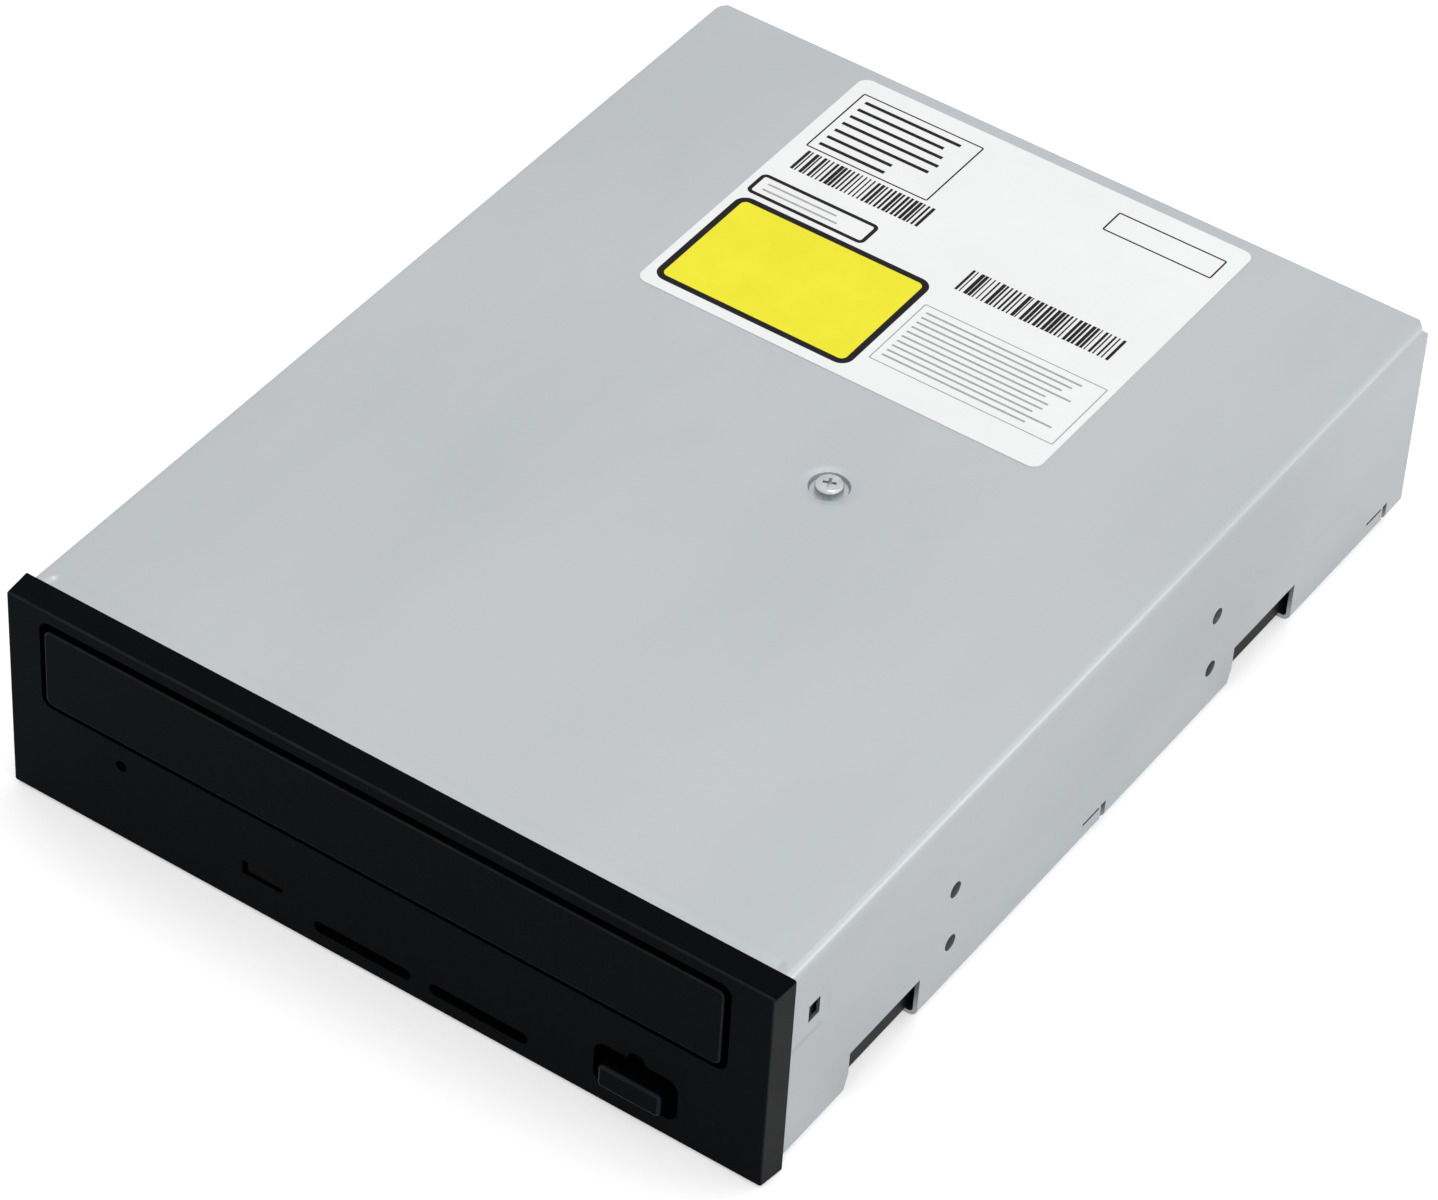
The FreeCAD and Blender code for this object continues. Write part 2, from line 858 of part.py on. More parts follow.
def flange_screws():
    screws = []
    for x, y in flange_screw_spots():
        head = cone_z(x, y, flange_dish_depth - flange_head_height, flange_dish_depth, flange_head_diameter / 2,
                      flange_head_diameter / 2 - 0.3)
        shank = rod_z(x, y, flange_dish_depth, flange_dish_depth + 7, screw_core_diameter / 2)
        recess = cross_recess(x, y, flange_dish_depth - flange_head_height + recess_depth, 20)
        screws.append(head.fuse(shank).cut(recess))
    return Part.Compound(screws + [mirrored(screw) for screw in screws])


def cover_screw():
    low = body_height - dish_depth
    high = low + pan_head_height
    head = rod_z(top_screw_x, top_screw_y, low, high, pan_head_diameter / 2)
    rim = [edge for edge in head.Edges if edge.BoundBox.ZMin > high - 1e-4]
    head = head.makeFillet(pan_head_round, rim)
    shank = rod_z(top_screw_x, top_screw_y, low - 5, low, screw_core_diameter / 2)
    return head.fuse(shank).cut(cross_recess(top_screw_x, top_screw_y, high, recess_turn)).removeSplitter()


def rating_label():
    y1 = rear - label_rear_gap
    return slab_z(-label_width / 2, label_width / 2, y1 - label_length, y1, body_height,
                  body_height + label_thickness, label_corner)


# Bezel, door and button

def bezel_blank():
    half = bezel_width / 2
    back = round_wire(-half, half, bezel_bottom, bezel_top, bezel_corner, lambda u, v: vec(u, bezel_back, v))
    front = round_wire(side_draft - half, half - side_draft, bezel_bottom + bottom_draft, bezel_top - top_draft,
                       bezel_corner, lambda u, v: vec(u, bezel_front, v))
    blank = Part.makeLoft([back, front], True, True)
    return blank.makeFillet(bezel_edge, edges_at_y(blank, bezel_front))


def opening_tool(grow, y0, y1):
    left = tray_middle - opening_width / 2 - grow
    right = tray_middle + opening_width / 2 + grow
    low = opening_bottom - grow
    high = min(opening_bottom + opening_height + grow, bezel_top - 0.3)
    return slab_y(left, right, low, high, y0, y1, opening_corner + grow)


def pocket_tool(grow, y0, y1):
    return slab_y(pocket_left - grow, pocket_left + pocket_width + grow, pocket_bottom - grow,
                  pocket_bottom + pocket_height + grow, y0, y1, pocket_corner + grow)


def window_tool(y0, y1):
    return box(window_left, window_left + window_width, y0, y1, window_bottom, window_bottom + window_height)


def vent_tools():
    tools = []
    for index in range(2):
        x = vent_first_x + vent_pitch * index
        tools.append(slab_y(x - vent_length / 2, x + vent_length / 2, vent_middle_height - vent_height / 2,
                            vent_middle_height + vent_height / 2, bezel_front - 1,
                            bezel_front + bezel_front_wall + 1, vent_height / 2 - 0.02))
    return tools


def hook_arm():
    arm_z0 = hook_window_bottom + hook_side_gap
    arm_z1 = hook_window_bottom + hook_window_height - hook_side_gap
    outer = wall_inner - 2 * seat_gap
    y1 = bezel_back + hook_window_start + hook_window_length - hook_side_gap
    arm = box(outer - hook_arm_thickness, outer, bezel_back - 0.5, y1, arm_z0, arm_z1)
    y0 = bezel_back + hook_window_start + hook_side_gap
    nub = prism_z([(outer, y0), (outer + hook_nub, y0), (outer, y1)], arm_z0, arm_z1)
    return arm.fuse(nub)


def tongue():
    low = deck_foot
    return box(tongue_middle - tongue_width / 2, tongue_middle + tongue_width / 2, bezel_back - 1,
               bezel_back + tongue_length, low, low + tongue_thickness)


def front_bezel():
    body = bezel_blank()
    inner = bezel_front + bezel_front_wall
    half = bezel_width / 2
    hollow = slab_y(bezel_wall - half, half - bezel_wall, bezel_bottom + bezel_wall, bezel_top - bezel_wall,
                    inner, bezel_back + 1, 0.5)
    body = body.cut(hollow)
    sleeve = opening_tool(opening_sleeve, inner - 0.5, bezel_back)
    pocket_block = pocket_tool(pocket_floor, inner - 0.5, bezel_front + pocket_depth + pocket_floor)
    pin_tube = rod_y(pinhole_x, pinhole_height, inner - 0.5, bezel_back, pinhole_diameter / 2 + 1.2)
    body = body.fuse([sleeve, pocket_block, pin_tube])
    through = button_gap
    floor_hole = slab_y(button_x0 - through, button_x1 + through, button_bottom - through, button_top + through,
                        bezel_front, bezel_back, button_corner)
    thumb = rod_y(pocket_left + pocket_width / 2, pocket_bottom + pocket_height, bezel_front - 1,
                  bezel_front + thumb_notch_depth, thumb_notch_radius)
    tools = [opening_tool(0, bezel_front - 1, bezel_back + 1),
             pocket_tool(0, bezel_front - 1, bezel_front + pocket_depth), floor_hole, thumb,
             window_tool(bezel_front - 1, inner + 1),
             rod_y(pinhole_x, pinhole_height, bezel_front - 1, bezel_back + 1, pinhole_diameter / 2)]
    body = body.cut(tools + vent_tools())
    arm = hook_arm()
    tab = tongue()
    root_z0 = hook_window_bottom - 1
    root = box(wall_inner - 2 * seat_gap - hook_arm_thickness - 0.6, half - bezel_wall + 0.2, inner - 0.2, bezel_back,
               root_z0, root_z0 + hook_window_height + 2)
    web = box(tongue_middle - tongue_width / 2, tongue_middle + tongue_width / 2, inner - 0.2, bezel_back,
              bezel_bottom + bezel_wall - 0.2, deck_foot + tongue_thickness)
    added = [arm, tab, root, web]
    return body.fuse(added + [mirrored(piece) for piece in added]).removeSplitter()


def tray_door():
    left = tray_middle - door_half_width
    right = tray_middle + door_half_width
    skin = slab_y(left, right, door_bottom, door_top, door_front, door_back, door_corner)
    skin = skin.makeFillet(door_edge, edges_at_y(skin, door_front))
    hollow = slab_y(left + door_wall, right - door_wall, door_bottom + door_wall, door_top - door_wall,
                    door_front + door_wall, door_back + 1, 0.6)
    skin = skin.cut(hollow)
    ribs = []
    for x in (-45.0, -15.0, 15.0, 45.0):
        ribs.append(box(x - 0.8, x + 0.8, door_front + door_wall - 0.2, door_back, door_bottom + door_wall - 0.2,
                        door_top - door_wall + 0.2))
    return skin.fuse(ribs).removeSplitter()


def eject_button():
    front = bezel_front - button_stand
    stop = bezel_front + pocket_depth + pocket_floor + running_gap
    cap = slab_y(button_x0, button_x1, button_bottom, button_top, front, stop + button_flange, button_corner)
    cap = cap.makeFillet(button_edge, edges_at_y(cap, front))
    flange = slab_y(button_x0 - 1, button_x1 + 1, button_bottom - 1, button_top + 1, stop, stop + button_flange, 1)
    stem_end = switch_front - plunger_reach - running_gap
    stem = rod_y(button_middle_x, button_middle_z, stop, stem_end, button_stem_radius)
    return join(cap, flange, stem)


def status_window():
    front = bezel_front + window_recess
    wall_back = bezel_front + bezel_front_wall
    left = window_left + window_left_gap
    right = window_left + window_width - window_gap
    low = window_bottom + 3 * window_gap
    high = window_bottom + window_height - window_gap
    lens = box(left, right, front, wall_back + window_lip_thickness, low, high)
    lip_y0 = wall_back + running_gap
    lip = box(window_left - window_lip, right + window_lip, lip_y0, lip_y0 + window_lip_thickness,
              window_bottom - window_lip, window_bottom + window_height + window_lip)
    pipe_x = (left + right) / 2
    pipe = box(pipe_x - light_pipe_width / 2, pipe_x + light_pipe_width / 2, lip_y0, led_tip() - seat_gap, low, high)
    return join(lens, lip, pipe)


def led_tip():
    return board_front - led_length


def led_place():
    left = window_left + window_left_gap
    right = window_left + window_width - window_gap
    return (left + right) / 2, window_bottom + window_height / 2


# Frame

def skirt():
    front = bezel_back + skirt_front_gap
    back = rear - sheet - rear_wall_gap
    shoulder = 2.0
    points = [(front, frame_foot), (back, frame_foot), (back, skirt_height),
              (bridge_rear + shoulder, skirt_height), (bridge_rear, bridge_seat_height),
              (bridge_front, bridge_seat_height), (bridge_front - shoulder, skirt_height), (front, skirt_height)]
    wall = prism_x(points, skirt_inner, skirt_outer)
    tools = [box(skirt_inner - 1, skirt_outer + 1, front - 1, bezel_back + hook_window_start + 6,
                 hook_window_bottom - 1.2, hook_window_bottom + hook_window_height + 1.2)]
    for y in mount_rows():
        for z in side_hole_heights():
            tools.append(rod_x(y, z, skirt_inner - 1, skirt_outer + 1, mount_thread / 2 + collar_wall + seat_gap))
        tools.append(rod_z(bottom_hole_span / 2, y, 0, sheet + collar_height + seat_gap,
                           mount_thread / 2 + collar_wall + seat_gap))
    for x, y in flange_screw_spots():
        tools.append(rod_z(x, y, 0, flange_dish_depth + sheet + seat_gap, flange_dish_rim / 2 + sheet + seat_gap))
    return wall.cut(tools)


def tray_guides(side):
    edge = tray_middle * side + tray_half_width
    ledge_top = rail_bottom - rail_gap
    ledge_low = ledge_top - ledge_thickness
    y0 = deck_front_y
    y1 = rear - sheet - rear_wall_gap - rear_wall
    ledge = box(edge - ledge_overlap, skirt_inner + 0.5, y0, y1, ledge_low, ledge_top)
    guide = box(edge + rail_gap, edge + rail_gap + guide_thickness, y0, y1, ledge_low, ledge_top + guide_height)
    pieces = [ledge, guide]
    tab_z0 = rail_bottom + rail_height + rail_gap
    for y in holddown_places:
        y_low = y - holddown_length / 2
        y_high = y + holddown_length / 2
        upright = box(edge + rail_gap, edge + rail_gap + guide_thickness, y_low, y_high, ledge_top,
                      tab_z0 + holddown_thickness)
        tab = box(edge - holddown_overlap, edge + rail_gap + guide_thickness, y_low, y_high, tab_z0,
                  tab_z0 + holddown_thickness)
        pieces += [upright, tab]
    guides = join(*pieces)
    return guides if side > 0 else mirrored(guides)


def loading_deck():
    y0 = deck_front_y
    y1 = slider_front - 2.4
    deck = box(-skirt_inner - 0.5, skirt_inner + 0.5, y0, y1, deck_underside, deck_top)
    pieces = [deck]
    for x in rib_places:
        pieces.append(box(x, x + rib_thickness, y0 + 1, slider_back, deck_foot, slider_bottom - seat_gap))
        pieces.append(box(x, x + rib_thickness, y0 + 1, y1, deck_foot, deck_underside + 0.2))
    rail = box(rib_places[0], rib_places[-1] + rib_thickness, slider_front - 0.6, slider_back + 0.4, deck_foot,
               slider_bottom - seat_gap)
    pieces.append(rail)
    arm_back = slider_front - 0.7
    for x in slider_hooks:
        x0 = x - slider_hook_width / 2
        x1 = x + slider_hook_width / 2
        hook_low = slider_top + slider_hook_gap
        hook_high = hook_low + slider_hook_thickness
        pieces.append(box(x0, x1, y1 - 1, arm_back, deck_underside, hook_high))
        pieces.append(box(x0, x1, arm_back - 0.5, slider_back + 0.4, hook_low, hook_high))
    for x0 in (front_board_left - seat_gap - board_post_width, front_board_right + seat_gap):
        pieces.append(box(x0, x0 + board_post_width, board_front - 0.6, y0 + 1, front_board_bottom, deck_top))
    post_top = pulley_bottom + pulley_width + 0.4
    pieces.append(rod_z(pulley_gear_x, pulley_gear_y, deck_underside, post_top, gear_post_radius))
    spur_top = rack_bottom + spur_face
    pieces.append(rod_z(tray_gear_x, tray_gear_y, deck_underside, spur_top + 0.4, gear_post_radius))
    collar = motor_radius + 0.3 + 1.2
    pieces.append(rod_z(motor_x, motor_y, deck_top - 1, deck_top + 2.0, collar))
    deck = join(*pieces)
    tools = [rod_z(motor_x, motor_y, 0, deck_top + 3, motor_radius + 0.3)]
    ribbon_x1 = front_ribbon_left + front_ribbon_width
    tools.append(box(front_ribbon_left - 0.5, ribbon_x1 + 0.5, slider_front - 2, slider_back + 2, 0, slider_bottom))
    return deck.cut(tools)


def pivot_bracket():
    half = pivot_pin_radius + 3.5
    inner = holder_half_width + 2.5
    block = box(inner, skirt_inner + 0.5, pivot_y - half, pivot_y + half, pivot_height - half,
                pivot_height + pivot_pin_radius + 1.6)
    bore = rod_x(pivot_y, pivot_height, inner - 1, holder_half_width + pivot_pin_reach + 1.5,
                 pivot_pin_radius + running_gap)
    return block.cut(bore)


def screw_bosses():
    pieces = []
    low = flange_dish_depth + sheet + seat_gap
    for x, y in flange_screw_spots():
        boss = rod_z(x, y, low, low + 9, screw_boss_radius)
        boss = boss.cut(box(skirt_outer, skirt_outer + 9, y - 9, y + 9, 0, 30))
        pieces.append(boss.cut(rod_z(x, y, low - 1, low + 8, pilot_hole_diameter / 2)))
    return pieces


def board_shelves():
    pieces = []
    for y in shelf_places:
        shelf = box(shelf_inner, skirt_inner + 0.5, y - shelf_length / 2, y + shelf_length / 2, main_board_top,
                    main_board_top + shelf_thickness)
        rib = prism_y([(shelf_inner + 4, main_board_top + 1), (skirt_inner + 0.5, main_board_top + 1),
                       (skirt_inner + 0.5, main_board_top + 9)], y - 0.8, y + 0.8)
        hole = rod_z(board_screw_x, y, main_board_top - 1, main_board_top + shelf_thickness + 1,
                     pilot_hole_diameter / 2)
        pieces.append(shelf.fuse(rib).cut(hole))
    return pieces


def socket_window(x, width, height):
    gap = 0.3
    low = main_board_bottom - gap
    return box(x - width / 2 - gap, x + width / 2 + gap, rear - 8, rear + 1, low, main_board_top + height + gap)


def rear_frame_wall():
    y1 = rear - sheet - rear_wall_gap
    wall = box(-skirt_inner - 0.5, skirt_inner + 0.5, y1 - rear_wall, y1, frame_foot + 1.2, skirt_height)
    tools = [socket_window(ide_x, ide_width, ide_height), socket_window(power_x, power_width, power_height),
             socket_window(jumper_x, jumper_columns * ide_pitch, 2 * ide_pitch),
             socket_window(audio_x, audio_width, audio_height)]
    return wall.cut(tools)


def loader_frame():
    sides = [skirt(), pivot_bracket()] + screw_bosses() + board_shelves()
    pieces = sides + [mirrored(piece) for piece in sides]
    pieces += [tray_guides(1), tray_guides(-1), loading_deck(), rear_frame_wall()]
    frame = join(*pieces)
    return frame


# Tray

def slot_profile(radius, half, end, z0, z1):
    hole = rod_z(spindle_x, spindle_y, z0, z1, radius)
    return hole.fuse(slab_z(spindle_x - half, spindle_x + half, spindle_y - half * 0.4, end, z0, z1, 3))


def tray_front():
    return door_back + running_gap


def disc_tray():
    y0 = tray_front()
    left = tray_middle - tray_body_half_width
    right = tray_middle + tray_body_half_width
    body = slab_z(left, right, y0 + 0.5, tray_body_end, tray_bottom, tray_top, tray_corner)
    rim = disc_radius + disc_clearance
    small_rim = small_disc_radius + disc_clearance
    body = body.cut([rod_z(spindle_x, spindle_y, tray_floor, tray_top + 1, rim),
                     rod_z(spindle_x, spindle_y, tray_small_floor, tray_top + 1, small_rim),
                     slot_profile(spindle_hole_radius, slot_half_width, slot_end, tray_bottom - 1, tray_top + 1)])
    pocket_end = spindle_y - rim - tray_wall
    body = body.cut(slab_z(left + 4, right - 4, y0 + 4, pocket_end, tray_bottom - 1, tray_top - tray_wall, 2))
    pieces = [body]
    for side in (-1, 1):
        edge = tray_middle + side * tray_half_width
        web = tray_middle + side * tray_body_half_width
        rail_x = sorted((edge, web - side * tray_wall))
        pieces.append(box(rail_x[0], rail_x[1], y0 + 2, rail_end, rail_bottom, rail_bottom + rail_height))
        web_x = sorted((web, web - side * tray_wall))
        pieces.append(box(web_x[0], web_x[1], y0 + 2, rail_end, rail_bottom, tray_bottom + 1.4))
    plate = box(tray_middle - front_plate_half_width, tray_middle + front_plate_half_width, y0,
                y0 + front_plate_thickness, rail_bottom, front_plate_top)
    pieces.append(plate)
    points = rack_outline(rack_start(), rack_teeth, rack_module, rack_pitch_line, rack_pitch_line + rack_back, -1)
    pieces.append(prism_z(points, rack_bottom, tray_bottom + 0.4))
    for angle in claw_angles:
        inner = disc_radius + disc_clearance - claw_reach
        claw = box(inner, inner + claw_reach + 1.0, -claw_width / 2, claw_width / 2, tray_top - claw_thickness, tray_top)
        claw.rotate(vec(0, 0, 0), vec(0, 0, 1), angle)
        claw.translate(vec(spindle_x, spindle_y, 0))
        pieces.append(claw)
    return join(*pieces)


# The first tooth lies so that the spur's rest tooth stands in a gap.
def rack_start():
    pitch = math.pi * rack_module
    return tray_gear_y - pitch / 2 - pitch


# Clamper

def clamper_bridge():
    side = skirt_outer - bridge_side_gap
    plate = slab_z(-side, side, bridge_front, bridge_rear, bridge_bottom, bridge_top, 2)
    lip_low = bridge_bottom - bridge_lip
    inner = skirt_inner - 2
    front_lip = box(-inner, inner, bridge_front, bridge_front + bridge_thickness, lip_low, bridge_top)
    rear_lip = box(-inner, inner, bridge_rear - bridge_thickness, bridge_rear, lip_low, bridge_top)
    clip = box(skirt_inner - seat_gap - 1, skirt_inner - seat_gap, -14, -6, bridge_bottom - 4, bridge_top)
    boss = rod_z(top_screw_x, top_screw_y, bridge_bottom, dish_bottom - running_gap, bridge_boss_radius)
    ring = rod_z(spindle_x, spindle_y, bridge_bottom - 0.8, bridge_top, bridge_hole_radius + 2)
    bridge = join(plate, front_lip, rear_lip, boss, ring, clip, mirrored(clip))
    hole = rod_z(spindle_x, spindle_y, 0, 60, bridge_hole_radius)
    pilot = rod_z(top_screw_x, top_screw_y, bridge_bottom - 1, dish_bottom + 1, pilot_hole_diameter / 2)
    slots = []
    for x in (-46.0, 46.0):
        slots.append(slab_z(x - 12, x + 12, spindle_y - 10, spindle_y + 10, 0, 60, 4))
    return bridge.cut([hole, pilot] + slots)


def clamper_hub():
    flange_low = bridge_top + seat_gap
    body = rod_z(spindle_x, spindle_y, clamper_bottom, flange_low, clamper_radius)
    flange = rod_z(spindle_x, spindle_y, flange_low, flange_low + clamper_flange, clamper_flange_radius)
    ring = rod_z(spindle_x, spindle_y, clamper_bottom - 0.5, clamper_bottom + 0.5, clamper_radius)
    ring = ring.cut(rod_z(spindle_x, spindle_y, 0, 60, clamper_radius - 2.5))
    bore = rod_z(spindle_x, spindle_y, clamper_bottom - 1, clamper_bottom + clamper_bore_depth, clamper_bore_radius)
    return join(body, flange, ring).cut(bore)


def clamper_magnet():
    low = bridge_top + seat_gap + clamper_flange
    ring = rod_z(spindle_x, spindle_y, low, low + magnet_thickness, magnet_outer_radius)
    return ring.cut(rod_z(spindle_x, spindle_y, 0, 60, magnet_inner_radius))


def clamper_yoke():
    low = bridge_top + seat_gap + clamper_flange + magnet_thickness
    return rod_z(spindle_x, spindle_y, low, low + yoke_thickness, yoke_radius)


# Loading drive

def tray_gear():
    spur_top = rack_bottom + spur_face
    wheel = gear(tray_gear_x, tray_gear_y, wheel_bottom, wheel_bottom + wheel_face, wheel_module, wheel_teeth,
                 wheel_phase)
    hub = rod_z(tray_gear_x, tray_gear_y, wheel_bottom, spur_top, gear_hub_radius)
    spur = gear(tray_gear_x, tray_gear_y, rack_bottom, spur_top, rack_module, spur_teeth, spur_phase)
    bore = rod_z(tray_gear_x, tray_gear_y, 0, 60, gear_post_radius + running_gap)
    holes = []
    for step in range(6):
        angle = math.radians(60 * step + 30)
        holes.append(rod_z(tray_gear_x + 9.5 * math.cos(angle), tray_gear_y + 9.5 * math.sin(angle), 0,
                           wheel_bottom + wheel_face + 1, 2.6))
    return join(wheel, hub, spur).cut([bore] + holes)


def pulley_gear():
    top = pulley_bottom + pulley_width
    pinion_top = wheel_bottom + wheel_face + pinion_extra
    pinion = gear(pulley_gear_x, pulley_gear_y, wheel_bottom, pinion_top, wheel_module, pinion_teeth, pinion_phase)
    hub = rod_z(pulley_gear_x, pulley_gear_y, wheel_bottom, top, gear_hub_radius)
    core = rod_z(pulley_gear_x, pulley_gear_y, pulley_bottom, top, pulley_radius)
    low = rod_z(pulley_gear_x, pulley_gear_y, pulley_bottom, pulley_bottom + pulley_flange, pulley_flange_radius)
    high = rod_z(pulley_gear_x, pulley_gear_y, top - pulley_flange, top, pulley_flange_radius)
    bore = rod_z(pulley_gear_x, pulley_gear_y, 0, 60, gear_post_radius + running_gap)
    return join(pinion, hub, core, low, high).cut(bore)


def loading_motor():
    top = motor_bottom + motor_height
    can = rod_z(motor_x, motor_y, motor_bottom, top, motor_radius)
    boss = rod_z(motor_x, motor_y, top, top + motor_boss_height, motor_boss_radius)
    return join(can, boss)


def motor_pulley():
    top = pulley_bottom + pulley_width
    core = rod_z(motor_x, motor_y, pulley_bottom, top, motor_pulley_radius)
    low = rod_z(motor_x, motor_y, pulley_bottom, pulley_bottom + pulley_flange, motor_flange_radius)
    high = rod_z(motor_x, motor_y, top - pulley_flange, top, motor_flange_radius)
    shaft_low = motor_bottom + motor_height + motor_boss_height + running_gap
    shaft = rod_z(motor_x, motor_y, shaft_low, top + 0.6, motor_shaft_radius)
    return join(core, low, high, shaft)


# The outline of a belt round two unequal pulleys, offset outward from their grooves.
def belt_outline(z, grow):
    big = pulley_radius + grow
    small = motor_pulley_radius + grow
    dx = motor_x - pulley_gear_x
    dy = motor_y - pulley_gear_y
    distance = math.hypot(dx, dy)
    along = math.atan2(dy, dx)
    tilt = math.acos((big - small) / distance)

    def on(x, y, radius, angle):
        return vec(x + radius * math.cos(angle), y + radius * math.sin(angle), z)

    big_up = on(pulley_gear_x, pulley_gear_y, big, along + tilt)
    big_down = on(pulley_gear_x, pulley_gear_y, big, along - tilt)
    small_up = on(motor_x, motor_y, small, along + tilt)
    small_down = on(motor_x, motor_y, small, along - tilt)
    big_far = on(pulley_gear_x, pulley_gear_y, big, along + math.pi)
    small_far = on(motor_x, motor_y, small, along)
    edges = [Part.LineSegment(big_up, small_up).toShape(), Part.Arc(small_up, small_far, small_down).toShape(),
             Part.LineSegment(small_down, big_down).toShape(), Part.Arc(big_down, big_far, big_up).toShape()]
    return Part.Face(Part.Wire(edges))


def drive_belt():
    z = pulley_bottom + (pulley_width - belt_thickness) / 2
    sweep = vec(0, 0, belt_thickness)
    outer = belt_outline(z, belt_gap + belt_thickness).extrude(sweep)
    return outer.cut(belt_outline(z, belt_gap).extrude(sweep))


def cam_rise():
    level = math.radians(lowering_angle)
    reach = pivot_y - (slider_front + slider_thickness / 2)
    lift = cam_pin_height - pivot_height
    lowered_height = pivot_height + lift * math.cos(level) - reach * math.sin(level)
    return lowered_height, cam_pin_height


def cam_slider():
    low, high = cam_rise()
    body = slab_y(slider_left, slider_right, slider_bottom, slider_top, slider_front, slider_back, 1.5)
    half = pin_radius + pin_play
    slots = []
    for x in pin_places:
        run = slider_travel
        rise = high - low
        length = math.hypot(run, rise)
        across = (half * rise / length, half * run / length)
        start = (x, low)
        end = (x - run, high)
        points = [(start[0] + across[0], start[1] + across[1]), (end[0] + across[0], end[1] + across[1]),
                  (end[0] - across[0], end[1] - across[1]), (start[0] - across[0], start[1] - across[1])]
        slots.append(prism_y(points, slider_front - 1, slider_back + 1))
        slots.append(rod_y(start[0], start[1], slider_front - 1, slider_back + 1, half))
        slots.append(rod_y(end[0], end[1], slider_front - 1, slider_back + 1, half))
    windows = []
    for x in (-56.0, -16.0, -4.0):
        windows.append(slab_y(x, x + 9, slider_bottom + 3, slider_bottom + 9, slider_front - 1, slider_back + 1, 1))
    body = body.cut(slots + windows)
    ramp_left = slider_left - 0.5
    ramp = prism_z([(ramp_left, slider_front + 0.5), (ramp_left + ramp_reach, slider_front + 0.5),
                    (ramp_left + ramp_reach, slider_front), (ramp_left, slider_front - ramp_reach)],
                   pinhole_height - ramp_height / 2, pinhole_height + ramp_height / 2)
    pitch = math.pi * wheel_module
    tip = slider_front - (slider_gap - 0.3)
    teeth = []
    for index in range(slider_rack_teeth):
        x = slider_rack_start + pitch * index
        teeth.append(prism_z([(x - 0.45 * pitch, slider_front + 0.3), (x + 0.45 * pitch, slider_front + 0.3),
                              (x + 0.18 * pitch, tip), (x - 0.18 * pitch, tip)], wheel_bottom,
                             wheel_bottom + wheel_face))
    return join(body, ramp, *teeth)


# Front board

def front_board():
    board = box(front_board_left, front_board_right, board_front, board_back, front_board_bottom, front_board_top)
    return board


def eject_switch():
    half = switch_size / 2
    z = button_middle_z
    case = box(button_middle_x - half, button_middle_x + half, switch_front, board_front,
               z - half + 0.6, z + half)
    bore_end = board_front - 0.5
    return case.cut(rod_y(button_middle_x, z, switch_front - 1, bore_end, plunger_radius + running_gap))


def switch_plunger():
    y0 = switch_front - plunger_reach
    plunger = rod_y(button_middle_x, button_middle_z, y0, y0 + plunger_length, plunger_radius)
    return plunger


def status_led():
    x, z = led_place()
    tip = led_tip()
    body = rod_y(x, z, tip + led_radius, board_front, led_radius)
    dome = Part.makeSphere(led_radius, vec(x, tip + led_radius, z))
    flange = rod_y(x, z, board_front - 0.8, board_front, led_radius + 0.4)
    return join(body, dome, flange)


def front_ribbon():
    x0 = front_ribbon_left
    x1 = x0 + front_ribbon_width
    z0 = deck_foot
    z1 = z0 + ribbon_thickness
    y0 = board_back + seat_gap
    y1 = main_board_front - 1.0
    flat = box(x0, x1, y0, y1 + ribbon_thickness, z0, z1)
    front_rise = box(x0, x1, y0, y0 + ribbon_thickness, z0, z0 + 5)
    top = main_board_top + 0.3
    rear_rise = box(x0, x1, y1, y1 + ribbon_thickness, z0, top + ribbon_thickness)
    rear_flat = box(x0, x1, y1, main_board_front + 1.5, top, top + ribbon_thickness)
    return join(flat, front_rise, rear_rise, rear_flat)


def tray_switch():
    y0 = bezel_back + tray_switch_back
    half = tray_switch_width / 2
    case = box(tray_switch_x - half, tray_switch_x + half, y0, y0 + tray_switch_length, deck_top,
               deck_top + tray_switch_height)
    lever = prism_x([(y0 + 0.6, deck_top + tray_switch_height - 0.3), (y0 + 1.6, deck_top + tray_switch_height - 0.3),
                     (y0 + 5.5, deck_top + tray_switch_height + 3.2), (y0 + 4.5, deck_top + tray_switch_height + 3.2)],
                    tray_switch_x - 1, tray_switch_x + 1)
    return case.fuse(lever)


# Traverse pieces, drawn level

def traverse_holder():
    side = holder_half_width
    ring = slab_z(-side, side, holder_front, holder_rear, holder_bottom, holder_top, 3)
    inner = side - holder_side
    ring = ring.cut(slab_z(-inner, inner, holder_front + holder_front_bar, holder_rear - holder_rear_bar,
                           holder_bottom - 1, holder_top + 1, 3))
    bar = box(-side + 6, side - 6, holder_front, holder_front + 3, holder_bottom, cam_pin_height + pin_radius + 0.5)
    pieces = [ring, bar]
    for x in pin_places:
        pieces.append(rod_y(x, cam_pin_height, holder_front + 1 - cam_pin_reach, holder_front + 1, pin_radius))
    for side_x in (-side - pivot_pin_reach, side - 1):
        pieces.append(rod_x(pivot_y, pivot_height, side_x, side_x + pivot_pin_reach + 1, pivot_pin_radius))
    holder = join(*pieces)
    holes = [rod_z(x, y, holder_top - 3, holder_top + 1, damper_screw_radius + 0.05) for x, y in damper_spots()]
    return holder.cut(holes)


def damper_spots():
    return [(side * damper_x, y) for side in (-1, 1) for y in damper_places]


